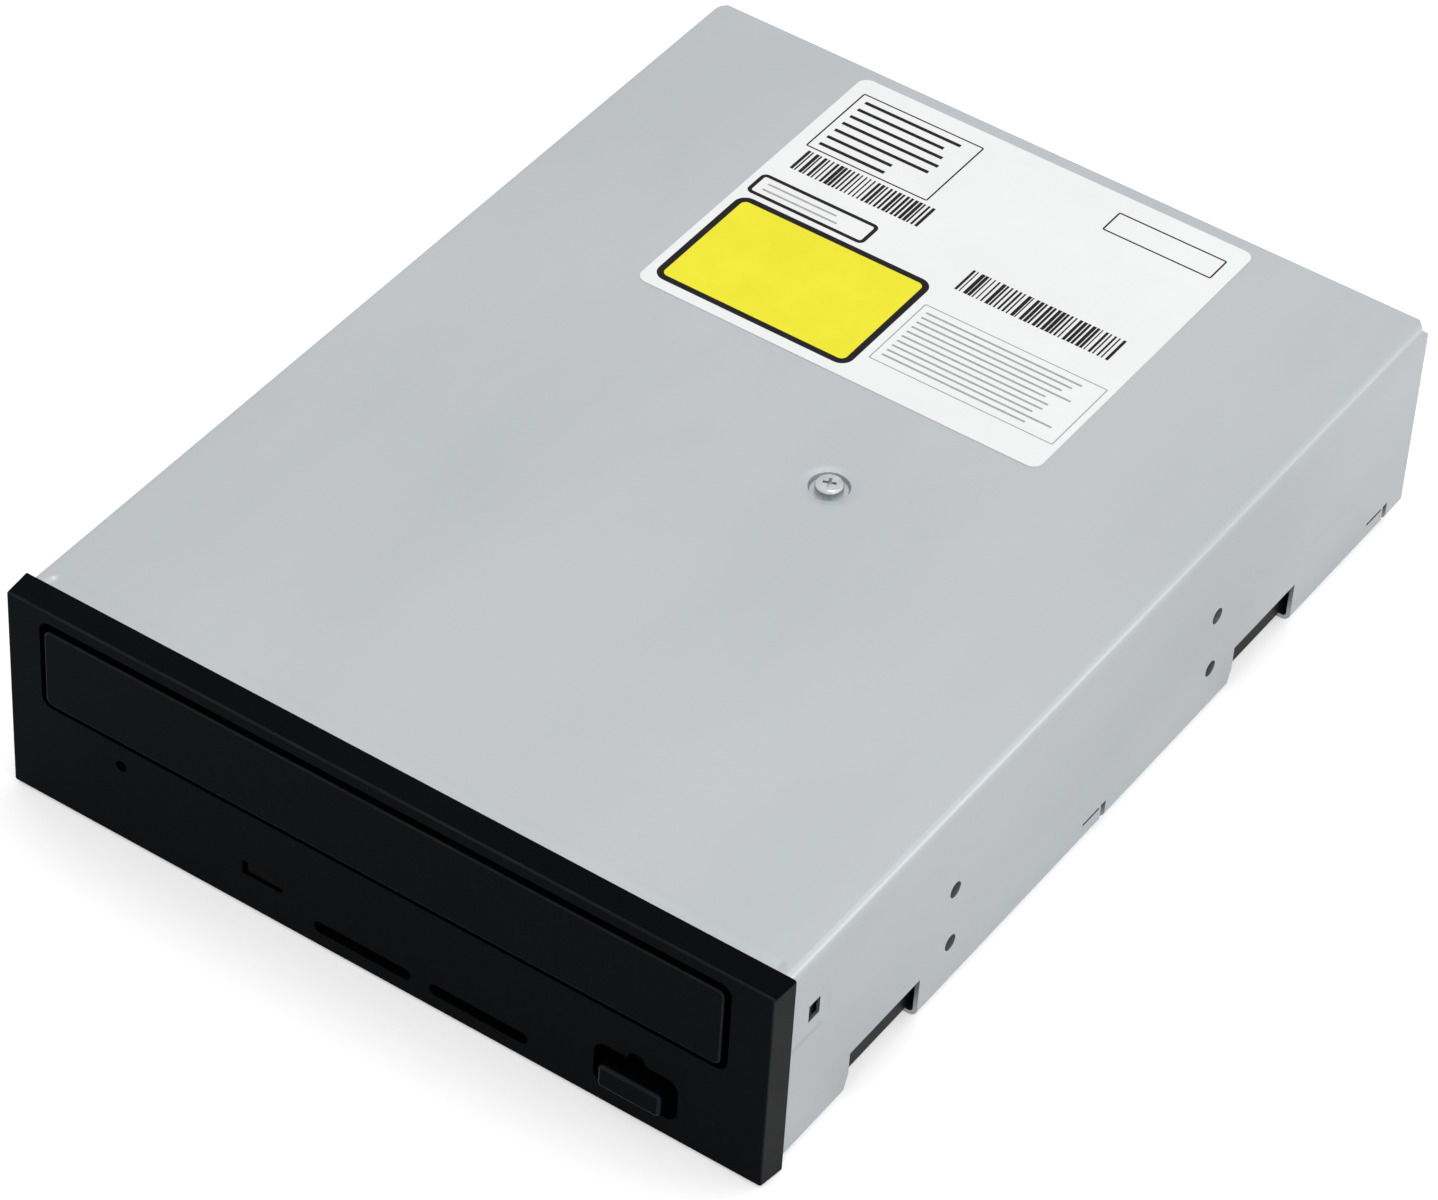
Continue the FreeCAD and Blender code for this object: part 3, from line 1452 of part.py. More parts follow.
def traverse_plate():
    side = plate_half_width
    plate = slab_z(-side, side, plate_front, plate_rear, plate_bottom, plate_top, 2)
    ears = []
    for x, y in damper_spots():
        ears.append(rod_z(x, y, plate_bottom, plate_top, damper_radius))
        reach = sorted((x, x - math.copysign(8, x)))
        ears.append(box(reach[0], reach[1], y - damper_radius, y + damper_radius, plate_bottom, plate_top))
    plate = plate.fuse(ears)
    well = slab_z(spindle_x - well_half_width, spindle_x + well_half_width, well_front, well_rear, 0, 60, 2)
    motor_well = box(spindle_x, motor_well_right, well_front, plate_rear - 1.5, 0, 60)
    plate = plate.cut([well, motor_well])
    plate = plate.cut(rod_z(spindle_x, spindle_y, 0, 60, stator_radius))
    plate = plate.cut([rod_z(x, y, 0, 60, damper_neck_radius + 0.05) for x, y in damper_spots()])
    screw_x = spindle_x + screw_offset
    brackets = []
    for y in (feed_bracket_y, lead_screw_front):
        tab = box(feed_bracket_left, side, y, y + feed_bracket_thickness, lead_screw_height - 3.4, plate_top)
        post = box(feed_bracket_left, motor_well_right, y, y + feed_bracket_thickness, lead_screw_height - 3.4,
                   lead_screw_height + 3.4)
        hole = rod_y(screw_x, lead_screw_height, y - 1, y + 2, lead_screw_radius + running_gap)
        brackets.append(tab.fuse(post).cut(hole))
    return join(plate, *brackets)


def damper_grommets():
    grommets = []
    for x, y in damper_spots():
        low = rod_z(x, y, holder_top, plate_bottom, damper_radius)
        neck = rod_z(x, y, plate_bottom - 0.1, plate_top + 0.1, damper_neck_radius)
        high = rod_z(x, y, plate_top, plate_top + damper_collar, damper_radius)
        bore = rod_z(x, y, 0, 60, damper_bore_radius)
        grommets.append(join(low, neck, high).cut(bore))
    return Part.Compound(grommets)


def damper_screws():
    screws = []
    low = plate_top + damper_collar
    for x, y in damper_spots():
        head = rod_z(x, y, low, low + damper_head_height, damper_head_radius)
        shank = rod_z(x, y, holder_top - 2.8, low, damper_screw_radius)
        screws.append(head.fuse(shank).cut(cross_recess(x, y, low + damper_head_height, 15)))
    return Part.Compound(screws)


def spindle_base():
    y0 = spindle_y - spindle_base_length / 2 - 1
    half = spindle_base_half_width
    base = slab_z(spindle_x - half, spindle_x + half, y0, y0 + spindle_base_length, plate_top, plate_top + 0.8, 3)
    stator = rod_z(spindle_x, spindle_y, plate_bottom - 1.2, rotor_bottom + 1.5, stator_radius - 0.1)
    bore = rod_z(spindle_x, spindle_y, 0, 60, spindle_shaft_radius + running_gap)
    return join(base, stator).cut(bore)


def spindle_rotor():
    can = rod_z(spindle_x, spindle_y, rotor_bottom, rotor_top, rotor_radius)
    hollow = rod_z(spindle_x, spindle_y, rotor_bottom - 1, rotor_top - 1, rotor_radius - 1)
    shaft = rod_z(spindle_x, spindle_y, plate_bottom - 1, turntable_seat, spindle_shaft_radius)
    return can.cut(hollow).fuse(shaft).removeSplitter()


def turntable():
    hub = rod_z(spindle_x, spindle_y, rotor_top, turntable_seat - 0.1, turntable_hub_radius)
    disc = rod_z(spindle_x, spindle_y, turntable_seat - pad_thickness - turntable_disc, turntable_seat - pad_thickness,
                 turntable_radius)
    bore = rod_z(spindle_x, spindle_y, 0, 60, spindle_shaft_radius + 0.02)
    return join(hub, disc).cut(bore)


def turntable_pad():
    low = turntable_seat - pad_thickness
    ring = rod_z(spindle_x, spindle_y, low, turntable_seat, turntable_radius)
    return ring.cut(rod_z(spindle_x, spindle_y, 0, 60, turntable_radius - pad_width))


def centring_cone():
    base = turntable_seat
    cone = cone_z(spindle_x, spindle_y, base, base + cone_height, cone_base_radius, cone_top_radius)
    return cone


def guide_shaft(side):
    return rod_y(spindle_x + side * shaft_offset, shaft_height, shaft_front, shaft_rear, shaft_radius)


def shaft_holders():
    holders = []
    half = shaft_holder_width / 2
    for side in (-1, 1):
        x = spindle_x + side * shaft_offset
        for y in (shaft_front, shaft_rear - shaft_holder_length + 1.0):
            block = box(x - half, x + half, y - 1.5, y + shaft_holder_length - 1.5, plate_top,
                        shaft_height + shaft_radius + 0.6)
            holders.append(block.cut(rod_y(x, shaft_height, shaft_front, shaft_rear, shaft_radius + 0.02)))
    return Part.Compound(holders)


def pickup_body():
    y0 = pickup_y0
    y1 = y0 + pickup_length
    x0 = spindle_x - pickup_half_width
    x1 = spindle_x + pickup_half_width
    core = slab_z(x0, x1, y0, y1, pickup_bottom, pickup_top, 3)
    lug_y0 = y0 + 2
    lug_y1 = lug_y0 + lug_length
    low = shaft_height - 2.9
    high = shaft_height + 2.9
    right = box(x1 - 1, x1 + lug_width, lug_y0, lug_y1, low, high)
    left = box(x0 - lug_width, x0 + 1, lug_y0 + 7, lug_y0 + 14, low, high)
    body = join(core, right, left)
    grip = rod_y(spindle_x + shaft_offset, shaft_height, lug_y0 - 1, lug_y1 + 1, shaft_radius + lug_bore_gap)
    relief = box(spindle_x + shaft_offset - 2.2, x1 + lug_width + 1, lug_y0 + 6, lug_y1 - 6, low - 1, high + 1)
    fork = box(x0 - lug_width - 1, spindle_x - shaft_offset + shaft_radius + 0.4, lug_y0, lug_y1,
               shaft_height - shaft_radius - lug_bore_gap, shaft_height + shaft_radius + lug_bore_gap)
    nest = box(spindle_x - actuator_half_width - 0.3, spindle_x + actuator_half_width + 0.3,
               lens_y - actuator_front - 0.3, lens_y - actuator_front + actuator_length + 0.3, pickup_top - 3,
               pickup_top + 1)
    return body.cut([grip, relief, fork, nest])


def actuator_cover():
    x0 = spindle_x - actuator_half_width
    x1 = spindle_x + actuator_half_width
    y0 = lens_y - actuator_front
    y1 = y0 + actuator_length
    low = pickup_top - 3 + running_gap
    shell = slab_z(x0, x1, y0, y1, low, actuator_top, 1.5)
    hollow = slab_z(x0 + actuator_wall, x1 - actuator_wall, y0 + actuator_wall, y1 - actuator_wall, low - 1,
                    actuator_top - actuator_wall, 1)
    hole = rod_z(spindle_x, lens_y, low, actuator_top + 1, actuator_hole_radius)
    mouth = box(spindle_x - actuator_hole_radius, spindle_x + actuator_hole_radius, y0 - 1, lens_y,
                actuator_top - 1.4, actuator_top + 1)
    return shell.cut([hollow, hole, mouth])


def lens_holder():
    half = lens_holder_half
    block = box(spindle_x - half, spindle_x + half, lens_y - half + 0.6, lens_y + half - 0.6, lens_holder_bottom,
                lens_holder_top)
    rim = rod_z(spindle_x, lens_y, lens_holder_top - 0.4, lens_holder_top + 0.3, lens_radius + 0.7)
    return block.fuse(rim).cut(rod_z(spindle_x, lens_y, lens_holder_bottom - 1, lens_top, lens_radius - 0.5))


def objective_lens():
    seat = lens_holder_top + 0.3
    base = rod_z(spindle_x, lens_y, seat, seat + 0.1, lens_radius)
    rise = lens_top - seat - 0.1
    sphere_radius = (lens_radius ** 2 + rise ** 2) / (2 * rise)
    ball = Part.makeSphere(sphere_radius, vec(spindle_x, lens_y, seat + 0.1 + rise - sphere_radius))
    cap = ball.common(rod_z(spindle_x, lens_y, seat + 0.1, lens_top + 1, lens_radius))
    return base.fuse(cap).removeSplitter()


def lens_wires():
    wires = []
    y0 = lens_y + lens_holder_half - 0.55
    y1 = lens_y - actuator_front + actuator_length - actuator_wall - seat_gap
    for side in (-1, 1):
        for z in (lens_holder_bottom + 0.6, lens_holder_bottom + 2.0):
            wires.append(rod_y(spindle_x + side * lens_wire_spread, z, y0, y1, lens_wire_radius))
    return Part.Compound(wires)


def lead_screw():
    x = spindle_x + screw_offset
    return rod_y(x, lead_screw_height, lead_screw_front - 0.6, feed_bracket_y + feed_bracket_thickness,
                 lead_screw_radius)


def feed_motor():
    x = spindle_x + screw_offset
    y0 = feed_bracket_y + feed_bracket_thickness
    can = rod_y(x, lead_screw_height, y0 + 0.05, y0 + feed_motor_length, feed_motor_radius)
    return can


def feed_rack():
    x1 = spindle_x + screw_offset - lead_screw_radius - feed_rack_gap
    x0 = spindle_x + pickup_half_width + lug_width + 0.02
    y0 = pickup_y0 + 6
    low = lead_screw_height - feed_rack_height / 2
    high = lead_screw_height + feed_rack_height / 2
    arm = box(x0, x1, y0, y0 + feed_rack_length, low, high)
    spring = box(x0, x1 - 0.6, y0 - 2, y0 + feed_rack_length + 2, high - 0.8, high + 0.8)
    return join(arm, spring)


def pickup_ribbon():
    half = pickup_ribbon_width / 2
    x0 = spindle_x - half
    x1 = spindle_x + half
    z0 = pickup_ribbon_height
    flat = box(x0, x1, pickup_ribbon_front, pickup_ribbon_rear, z0, z0 + ribbon_thickness)
    drop = box(x0, x1, pickup_ribbon_rear - ribbon_thickness, pickup_ribbon_rear, pickup_ribbon_drop,
               z0 + ribbon_thickness)
    return join(flat, drop)


# Main board

def main_board():
    half = main_board_half_width
    board = box(-half, half, main_board_front, main_board_rear, main_board_bottom, main_board_top)
    holes = []
    for x in (-board_screw_x, board_screw_x):
        for y in shelf_places:
            holes.append(rod_z(x, y, 0, 10, pilot_hole_diameter / 2 + 0.2))
    return board.cut(holes)


def board_screws():
    screws = []
    for x in (-board_screw_x, board_screw_x):
        for y in shelf_places:
            head = rod_z(x, y, main_board_bottom - board_head_height, main_board_bottom, board_head_radius)
            shank = rod_z(x, y, main_board_bottom - 0.2, main_board_bottom + board_screw_length,
                          screw_core_diameter / 2)
            screws.append(join(head, shank))
    return Part.Compound(screws)


def controller_chips():
    chips = []
    for x, y, half in chip_places:
        chips.append(box(x - half, x + half, y - half, y + half, main_board_top, main_board_top + chip_height))
    return Part.Compound(chips)


def board_capacitors():
    cans = []
    for x, y in capacitor_places:
        cans.append(rod_z(x, y, main_board_top, main_board_top + capacitor_height, capacitor_radius))
    return Part.Compound(cans)


def ribbon_sockets():
    y0 = pickup_ribbon_rear - board_socket_length / 2
    half = pickup_ribbon_width / 2 + 2
    rear_socket = box(spindle_x - half, spindle_x + half, y0, y0 + board_socket_length, main_board_top,
                      main_board_top + board_socket_height - 0.6)
    x0 = front_ribbon_left - 1.5
    x1 = front_ribbon_left + front_ribbon_width + 1.5
    y_front = main_board_front + 1.6
    front_socket = box(x0, x1, y_front, y_front + board_socket_length, main_board_top,
                       main_board_top + board_socket_height)
    return Part.Compound([rear_socket, front_socket])


def ide_rows():
    middle = main_board_top + ide_pin_height
    return (middle - ide_pitch / 2, middle + ide_pitch / 2)


def ide_connector():
    half = ide_width / 2
    y0 = socket_face - ide_depth
    shroud = box(ide_x - half, ide_x + half, y0, socket_face, main_board_top, main_board_top + ide_height)
    cavity = box(ide_x - half + socket_wall, ide_x + half - socket_wall, y0 + 2.4, socket_face + 1,
                 main_board_top + socket_wall, main_board_top + ide_height - socket_wall)
    key = box(ide_x - 2.2, ide_x + 2.2, y0 + 3.5, socket_face + 1, main_board_top + ide_height - socket_wall - 1,
              main_board_top + ide_height + 1)
    pins = []
    for z in ide_rows():
        pins += pin_row(ide_x, ide_columns, z, y0 - 1, y0 + 3, 0.02)
    return shroud.cut([cavity, key] + pins)


def pin_row(middle, columns, z, y0, y1, grow):
    half = ide_pin / 2 + grow
    pins = []
    for column in range(columns):
        x = middle + (column - (columns - 1) / 2) * ide_pitch
        pins.append(box(x - half, x + half, y0, y1, z - half, z + half))
    return pins


def ide_pins():
    y0 = socket_face - ide_depth
    pins = []
    for z in ide_rows():
        pins += pin_row(ide_x, ide_columns, z, y0 - 0.6, y0 + 2.4 + 5.6, 0)
    return Part.Compound(pins)


def power_spots():
    return [power_x + (index - 1.5) * power_pitch for index in range(4)]


def power_connector():
    half = power_width / 2
    y0 = socket_face - power_depth
    z0 = main_board_top
    z1 = z0 + power_height
    shell = box(power_x - half, power_x + half, y0, socket_face, z0, z1)
    inner = 1.5
    points = [(power_x - half + inner, z0 + inner), (power_x + half - inner, z0 + inner),
              (power_x + half - inner, z1 - inner - 1.8), (power_x + half - inner - 1.8, z1 - inner),
              (power_x - half + inner + 1.8, z1 - inner), (power_x - half + inner, z1 - inner - 1.8)]
    cavity = prism_y(points, y0 + 2, socket_face + 1)
    tools = [cavity]
    for x in power_spots():
        tools.append(rod_y(x, z0 + power_pin_height, y0 - 1, y0 + 3, power_pin_radius + 0.02))
    return shell.cut(tools)


def power_pins():
    y0 = socket_face - power_depth
    z = main_board_top + power_pin_height
    return Part.Compound([rod_y(x, z, y0 - 0.6, socket_face - 1.8, power_pin_radius) for x in power_spots()])


def jumper_block():
    width = jumper_columns * ide_pitch
    y0 = socket_face - jumper_depth
    z0 = main_board_top
    base = box(jumper_x - width / 2, jumper_x + width / 2, y0, y0 + 2.5, z0, z0 + 2 * ide_pitch)
    pins = []
    for row in range(2):
        pins += pin_row(jumper_x, jumper_columns, z0 + ide_pitch * (row + 0.5), y0 + 1, y0 + 2.5 + 6, 0)
    return base.fuse(pins)


def jumper_cap():
    y0 = socket_face - jumper_depth + 2.5 + 0.2
    z0 = main_board_top
    half = ide_pitch / 2 - 0.15
    x = jumper_x - ide_pitch
    cap = box(x - half, x + half, y0, y0 + 5.6, z0 + 0.1, z0 + 2 * ide_pitch - 0.1)
    bores = []
    for row in range(2):
        bores += pin_row(x, 1, z0 + ide_pitch * (row + 0.5), y0 - 1, y0 + 9, 0.05)
    return cap.cut(bores)


def audio_connector():
    half = audio_width / 2
    y0 = socket_face - jumper_depth
    z0 = main_board_top
    shell = box(audio_x - half, audio_x + half, y0, socket_face, z0, z0 + audio_height)
    cavity = box(audio_x - half + 0.8, audio_x + half - 0.8, y0 + 2, socket_face + 1, z0 + 0.8,
                 z0 + audio_height - 0.8)
    pins = pin_row(audio_x, audio_pins, z0 + audio_height / 2, y0 + 1, y0 + 1 + pin_reach, 0)
    return shell.cut(cavity).fuse(pins)


fixed_pieces = {
    "top_cover": top_cover,
    "bottom_cover": bottom_cover,
    "flange_screws": flange_screws,
    "cover_screw": cover_screw,
    "rating_label": rating_label,
    "front_bezel": front_bezel,
    "tray_door": tray_door,
    "eject_button": eject_button,
    "status_window": status_window,
    "loader_frame": loader_frame,
    "disc_tray": disc_tray,
    "clamper_bridge": clamper_bridge,
    "clamper_hub": clamper_hub,
    "clamper_magnet": clamper_magnet,
    "clamper_yoke": clamper_yoke,
    "tray_gear": tray_gear,
    "pulley_gear": pulley_gear,
    "loading_motor": loading_motor,
    "motor_pulley": motor_pulley,
    "drive_belt": drive_belt,
    "cam_slider": cam_slider,
    "front_board": front_board,
    "eject_switch": eject_switch,
    "switch_plunger": switch_plunger,
    "status_led": status_led,
    "front_ribbon": front_ribbon,
    "tray_switch": tray_switch,
    "main_board": main_board,
    "board_screws": board_screws,
    "controller_chips": controller_chips,
    "board_capacitors": board_capacitors,
    "ribbon_sockets": ribbon_sockets,
    "ide_connector": ide_connector,
    "ide_pins": ide_pins,
    "power_connector": power_connector,
    "power_pins": power_pins,
    "jumper_block": jumper_block,
    "jumper_cap": jumper_cap,
    "audio_connector": audio_connector,
}

lowered_pieces = {
    "traverse_holder": traverse_holder,
    "traverse_plate": traverse_plate,
    "damper_grommets": damper_grommets,
    "damper_screws": damper_screws,
    "spindle_base": spindle_base,
    "spindle_rotor": spindle_rotor,
    "turntable": turntable,
    "turntable_pad": turntable_pad,
    "centring_cone": centring_cone,
    "main_guide_shaft": lambda: guide_shaft(1),
    "sub_guide_shaft": lambda: guide_shaft(-1),
    "shaft_holders": shaft_holders,
    "pickup_body": pickup_body,
    "actuator_cover": actuator_cover,
    "lens_holder": lens_holder,
    "objective_lens": objective_lens,
    "lens_wires": lens_wires,
    "lead_screw": lead_screw,
    "feed_motor": feed_motor,
    "feed_rack": feed_rack,
    "pickup_ribbon": pickup_ribbon,
}


def main():
    os.makedirs("parts", exist_ok=True)
    for name, make in fixed_pieces.items():
        make().exportStep("parts/" + name + ".step")
    for name, make in lowered_pieces.items():
        lowered(make()).exportStep("parts/" + name + ".step")


main()
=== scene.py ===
import json
import math
import bmesh
import bpy
from mathutils import Matrix, Vector


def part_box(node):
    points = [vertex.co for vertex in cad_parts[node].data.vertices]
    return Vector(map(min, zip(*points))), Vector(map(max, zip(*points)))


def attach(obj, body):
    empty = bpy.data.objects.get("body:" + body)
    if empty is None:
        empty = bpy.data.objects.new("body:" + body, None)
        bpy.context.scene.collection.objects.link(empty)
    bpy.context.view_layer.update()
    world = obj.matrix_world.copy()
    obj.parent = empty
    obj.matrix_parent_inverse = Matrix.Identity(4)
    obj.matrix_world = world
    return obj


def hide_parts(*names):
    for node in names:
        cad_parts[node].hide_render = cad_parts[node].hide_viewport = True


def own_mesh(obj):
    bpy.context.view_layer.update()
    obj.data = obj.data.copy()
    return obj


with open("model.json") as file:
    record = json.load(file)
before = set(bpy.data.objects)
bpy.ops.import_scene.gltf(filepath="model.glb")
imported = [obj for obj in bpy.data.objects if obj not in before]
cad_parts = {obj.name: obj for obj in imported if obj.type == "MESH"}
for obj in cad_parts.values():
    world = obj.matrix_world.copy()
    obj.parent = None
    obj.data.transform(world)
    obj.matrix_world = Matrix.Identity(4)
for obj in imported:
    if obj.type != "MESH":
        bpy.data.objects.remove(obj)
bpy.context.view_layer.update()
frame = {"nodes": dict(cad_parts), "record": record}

# Internal disc drive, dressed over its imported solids. Metres, Z up, front towards -Y.
mm = 0.001
bodyOf = {}
for bodyName, members in frame["record"]["behaviour"]["bodies"].items():
    for member in members:
        bodyOf[member] = bodyName
slotOf = {part["node"]: part["material_slot"] for part in frame["record"]["subparts"]}
print("frame loaded:", len(frame["nodes"]), "nodes")


# small helpers for node trees

def addNode(tree, kind, **settings):
    made = tree.nodes.new(kind)
    for key, value in settings.items():
        setattr(made, key, value)
    return made


def wire(tree, start, end):
    tree.links.new(start, end)


def setInput(made, name, value):
    made.inputs[name].default_value = value


def blankMaterial(name):
    made = bpy.data.materials.new(name)
    made.use_nodes = True
    return made, made.node_tree, made.node_tree.nodes["Principled BSDF"]


# finishes

plainFinish = dict(metallic=0.0, stretch=(1.0, 1.0, 1.0), gloss=0.5, tint=(1.0, 1.0, 1.0))
finishNoise = dict(cloudDetail=4.0, grainDetail=2.0, roughBand=(0.3, 0.7), colourBand=(0.35, 0.65))
finishes = {
    # colours are linear; cloud is the size of a blotch, grain and bump the size and height of the
    # fine texture, in mm; what a finish leaves out comes from plainFinish
    "coverSteel": dict(
        colour=(0.530, 0.554, 0.572), cloudColour=(0.496, 0.521, 0.539), cloud=34.0, metallic=1.0,
        roughness=(0.38, 0.46), grain=0.5, bump=0.010, stretch=(1.0, 0.35, 1.0)),
    "innerSteel": dict(
        colour=(0.55, 0.56, 0.57), cloudColour=(0.47, 0.48, 0.49), cloud=18.0, metallic=1.0,
        roughness=(0.32, 0.42), grain=0.4, bump=0.010),
    "screwSteel": dict(
        colour=(0.62, 0.63, 0.64), cloudColour=(0.50, 0.51, 0.52), cloud=1.4, metallic=1.0,
        roughness=(0.22, 0.36), grain=0.12, bump=0.010),
    "motorSteel": dict(
        colour=(0.60, 0.60, 0.60), cloudColour=(0.50, 0.50, 0.50), cloud=6.0, metallic=1.0,
        roughness=(0.22, 0.32), grain=0.3, bump=0.006, stretch=(1.0, 1.0, 0.2)),
    "groundSteel": dict(
        colour=(0.66, 0.66, 0.68), cloudColour=(0.58, 0.58, 0.60), cloud=5.0, metallic=1.0,
        roughness=(0.12, 0.2), grain=0.15, bump=0.003, stretch=(1.0, 0.1, 1.0)),
    "castZinc": dict(
        colour=(0.46, 0.46, 0.47), cloudColour=(0.38, 0.38, 0.39), cloud=4.0, metallic=1.0,
        roughness=(0.42, 0.55), grain=0.35, bump=0.03),
    "canAluminium": dict(
        colour=(0.70, 0.71, 0.72), cloudColour=(0.62, 0.63, 0.64), cloud=3.0, metallic=1.0,
        roughness=(0.25, 0.33), grain=0.2, bump=0.005, stretch=(1.0, 1.0, 0.2)),
    "turnedBrass": dict(
        colour=(0.75, 0.53, 0.22), cloudColour=(0.62, 0.42, 0.16), cloud=1.5, metallic=1.0,
        roughness=(0.2, 0.3), grain=0.1, bump=0.004, stretch=(0.3, 0.3, 1.0)),
    "goldContact": dict(
        colour=(0.80, 0.62, 0.28), cloudColour=(0.70, 0.52, 0.22), cloud=1.2, metallic=1.0,
        roughness=(0.18, 0.28), grain=0.1, bump=0.003),
    "platedMagnet": dict(
        colour=(0.30, 0.30, 0.31), cloudColour=(0.22, 0.22, 0.23), cloud=3.0, metallic=1.0,
        roughness=(0.3, 0.45), grain=0.2, bump=0.01),
    "bezelBlack": dict(
        colour=(0.0007, 0.0011, 0.0017), cloudColour=(0.0013, 0.0017, 0.0024), cloud=26.0,
        roughness=(0.38, 0.48), grain=0.22, bump=0.035, gloss=0.026, tint=(0.80, 0.90, 1.0)),
    # painted highlight: a lighter colour on the rounded front edges of the moulded pieces
    "bezelEdgePaintedHighlight": dict(
        colour=(0.004, 0.0048, 0.006), cloudColour=(0.009, 0.010, 0.012), cloud=5.0,
        roughness=(0.28, 0.38), grain=0.22, bump=0.02, gloss=0.09),
    # painted light: the bezel's end faces get a lighter colour than its front; the coarser roughness
    # and bump are their own
    "bezelEndPaintedLight": dict(
        colour=(0.010, 0.0105, 0.0115), cloudColour=(0.013, 0.0135, 0.0145), cloud=12.0,
        roughness=(0.44, 0.54), grain=0.3, bump=0.05, gloss=0.052),
    "windowBlack": dict(
        colour=(0.0014, 0.0015, 0.002), cloudColour=(0.002, 0.002, 0.0025), cloud=3.0,
        roughness=(0.14, 0.20), grain=0.5, bump=0.002, gloss=0.025),
    "frameBlack": dict(
        colour=(0.006, 0.006, 0.007), cloudColour=(0.009, 0.009, 0.010), cloud=15.0,
        roughness=(0.38, 0.5), grain=0.4, bump=0.015, gloss=0.12),
    "trayBlack": dict(
        colour=(0.016, 0.016, 0.018), cloudColour=(0.022, 0.022, 0.024), cloud=20.0,
        roughness=(0.34, 0.44), grain=0.3, bump=0.015),
    "chipBlack": dict(
        colour=(0.018, 0.018, 0.018), cloudColour=(0.028, 0.028, 0.028), cloud=3.0,
        roughness=(0.5, 0.62), grain=0.15, bump=0.02),
    "rubberBlack": dict(
        colour=(0.014, 0.014, 0.014), cloudColour=(0.022, 0.022, 0.021), cloud=4.0,
        roughness=(0.62, 0.75), grain=0.2, bump=0.02),
    "whiteAcetal": dict(
        colour=(0.74, 0.74, 0.70), cloudColour=(0.68, 0.68, 0.63), cloud=8.0,
        roughness=(0.34, 0.44), grain=0.4, bump=0.008),
    "whiteNylon": dict(
        colour=(0.78, 0.77, 0.70), cloudColour=(0.70, 0.69, 0.60), cloud=7.0,
        roughness=(0.4, 0.5), grain=0.3, bump=0.012),
    "labelFilm": dict(
        colour=(0.90, 0.905, 0.91), cloudColour=(0.87, 0.875, 0.88), cloud=16.0,
        roughness=(0.34, 0.42), grain=0.6, bump=0.006),
    "labelInk": dict(
        colour=(0.006, 0.006, 0.007), cloudColour=(0.010, 0.010, 0.011), cloud=2.0,
        roughness=(0.4, 0.5), grain=0.2, bump=0.004, gloss=0.10),
    "labelGrey": dict(
        colour=(0.34, 0.34, 0.35), cloudColour=(0.40, 0.40, 0.41), cloud=1.5,
        roughness=(0.4, 0.5), grain=0.2, bump=0.004),
    "labelYellow": dict(
        colour=(0.92, 0.85, 0.022), cloudColour=(0.88, 0.80, 0.018), cloud=9.0,
        roughness=(0.34, 0.42), grain=0.5, bump=0.005, gloss=0.25),
    "boardGreen": dict(
        colour=(0.012, 0.10, 0.032), cloudColour=(0.018, 0.13, 0.045), cloud=2.2,
        roughness=(0.25, 0.35), grain=0.5, bump=0.02),
    "filmCable": dict(
        colour=(0.50, 0.24, 0.06), cloudColour=(0.62, 0.34, 0.10), cloud=1.0,
        roughness=(0.25, 0.35), grain=0.3, bump=0.01, stretch=(1.0, 0.02, 1.0)),
    "ledResin": dict(
        colour=(0.62, 0.30, 0.06), cloudColour=(0.55, 0.25, 0.05), cloud=1.0,
        roughness=(0.08, 0.15), grain=0.2, bump=0.002),
    "lensBlue": dict(
        colour=(0.10, 0.16, 0.34), cloudColour=(0.16, 0.12, 0.32), cloud=2.0,
        roughness=(0.03, 0.06), grain=0.5, bump=0.001),
}

finishOfSlot = {
    "steel_sheet": "innerSteel", "bezel_plastic": "bezelBlack", "window_plastic": "windowBlack",
    "frame_plastic": "frameBlack", "tray_plastic": "trayBlack", "acetal": "whiteAcetal",
    "label_film": "labelFilm", "screw_steel": "screwSteel", "motor_steel": "motorSteel",
    "brass": "turnedBrass", "rubber": "rubberBlack", "board_green": "boardGreen",
    "chip_black": "chipBlack", "magnet": "platedMagnet", "shaft_steel": "groundSteel",
    "zinc_cast": "castZinc", "lens_glass": "lensBlue", "led_resin": "ledResin",
    "film_cable": "filmCable", "white_nylon": "whiteNylon", "contact_metal": "goldContact",
    "capacitor_can": "canAluminium",
}


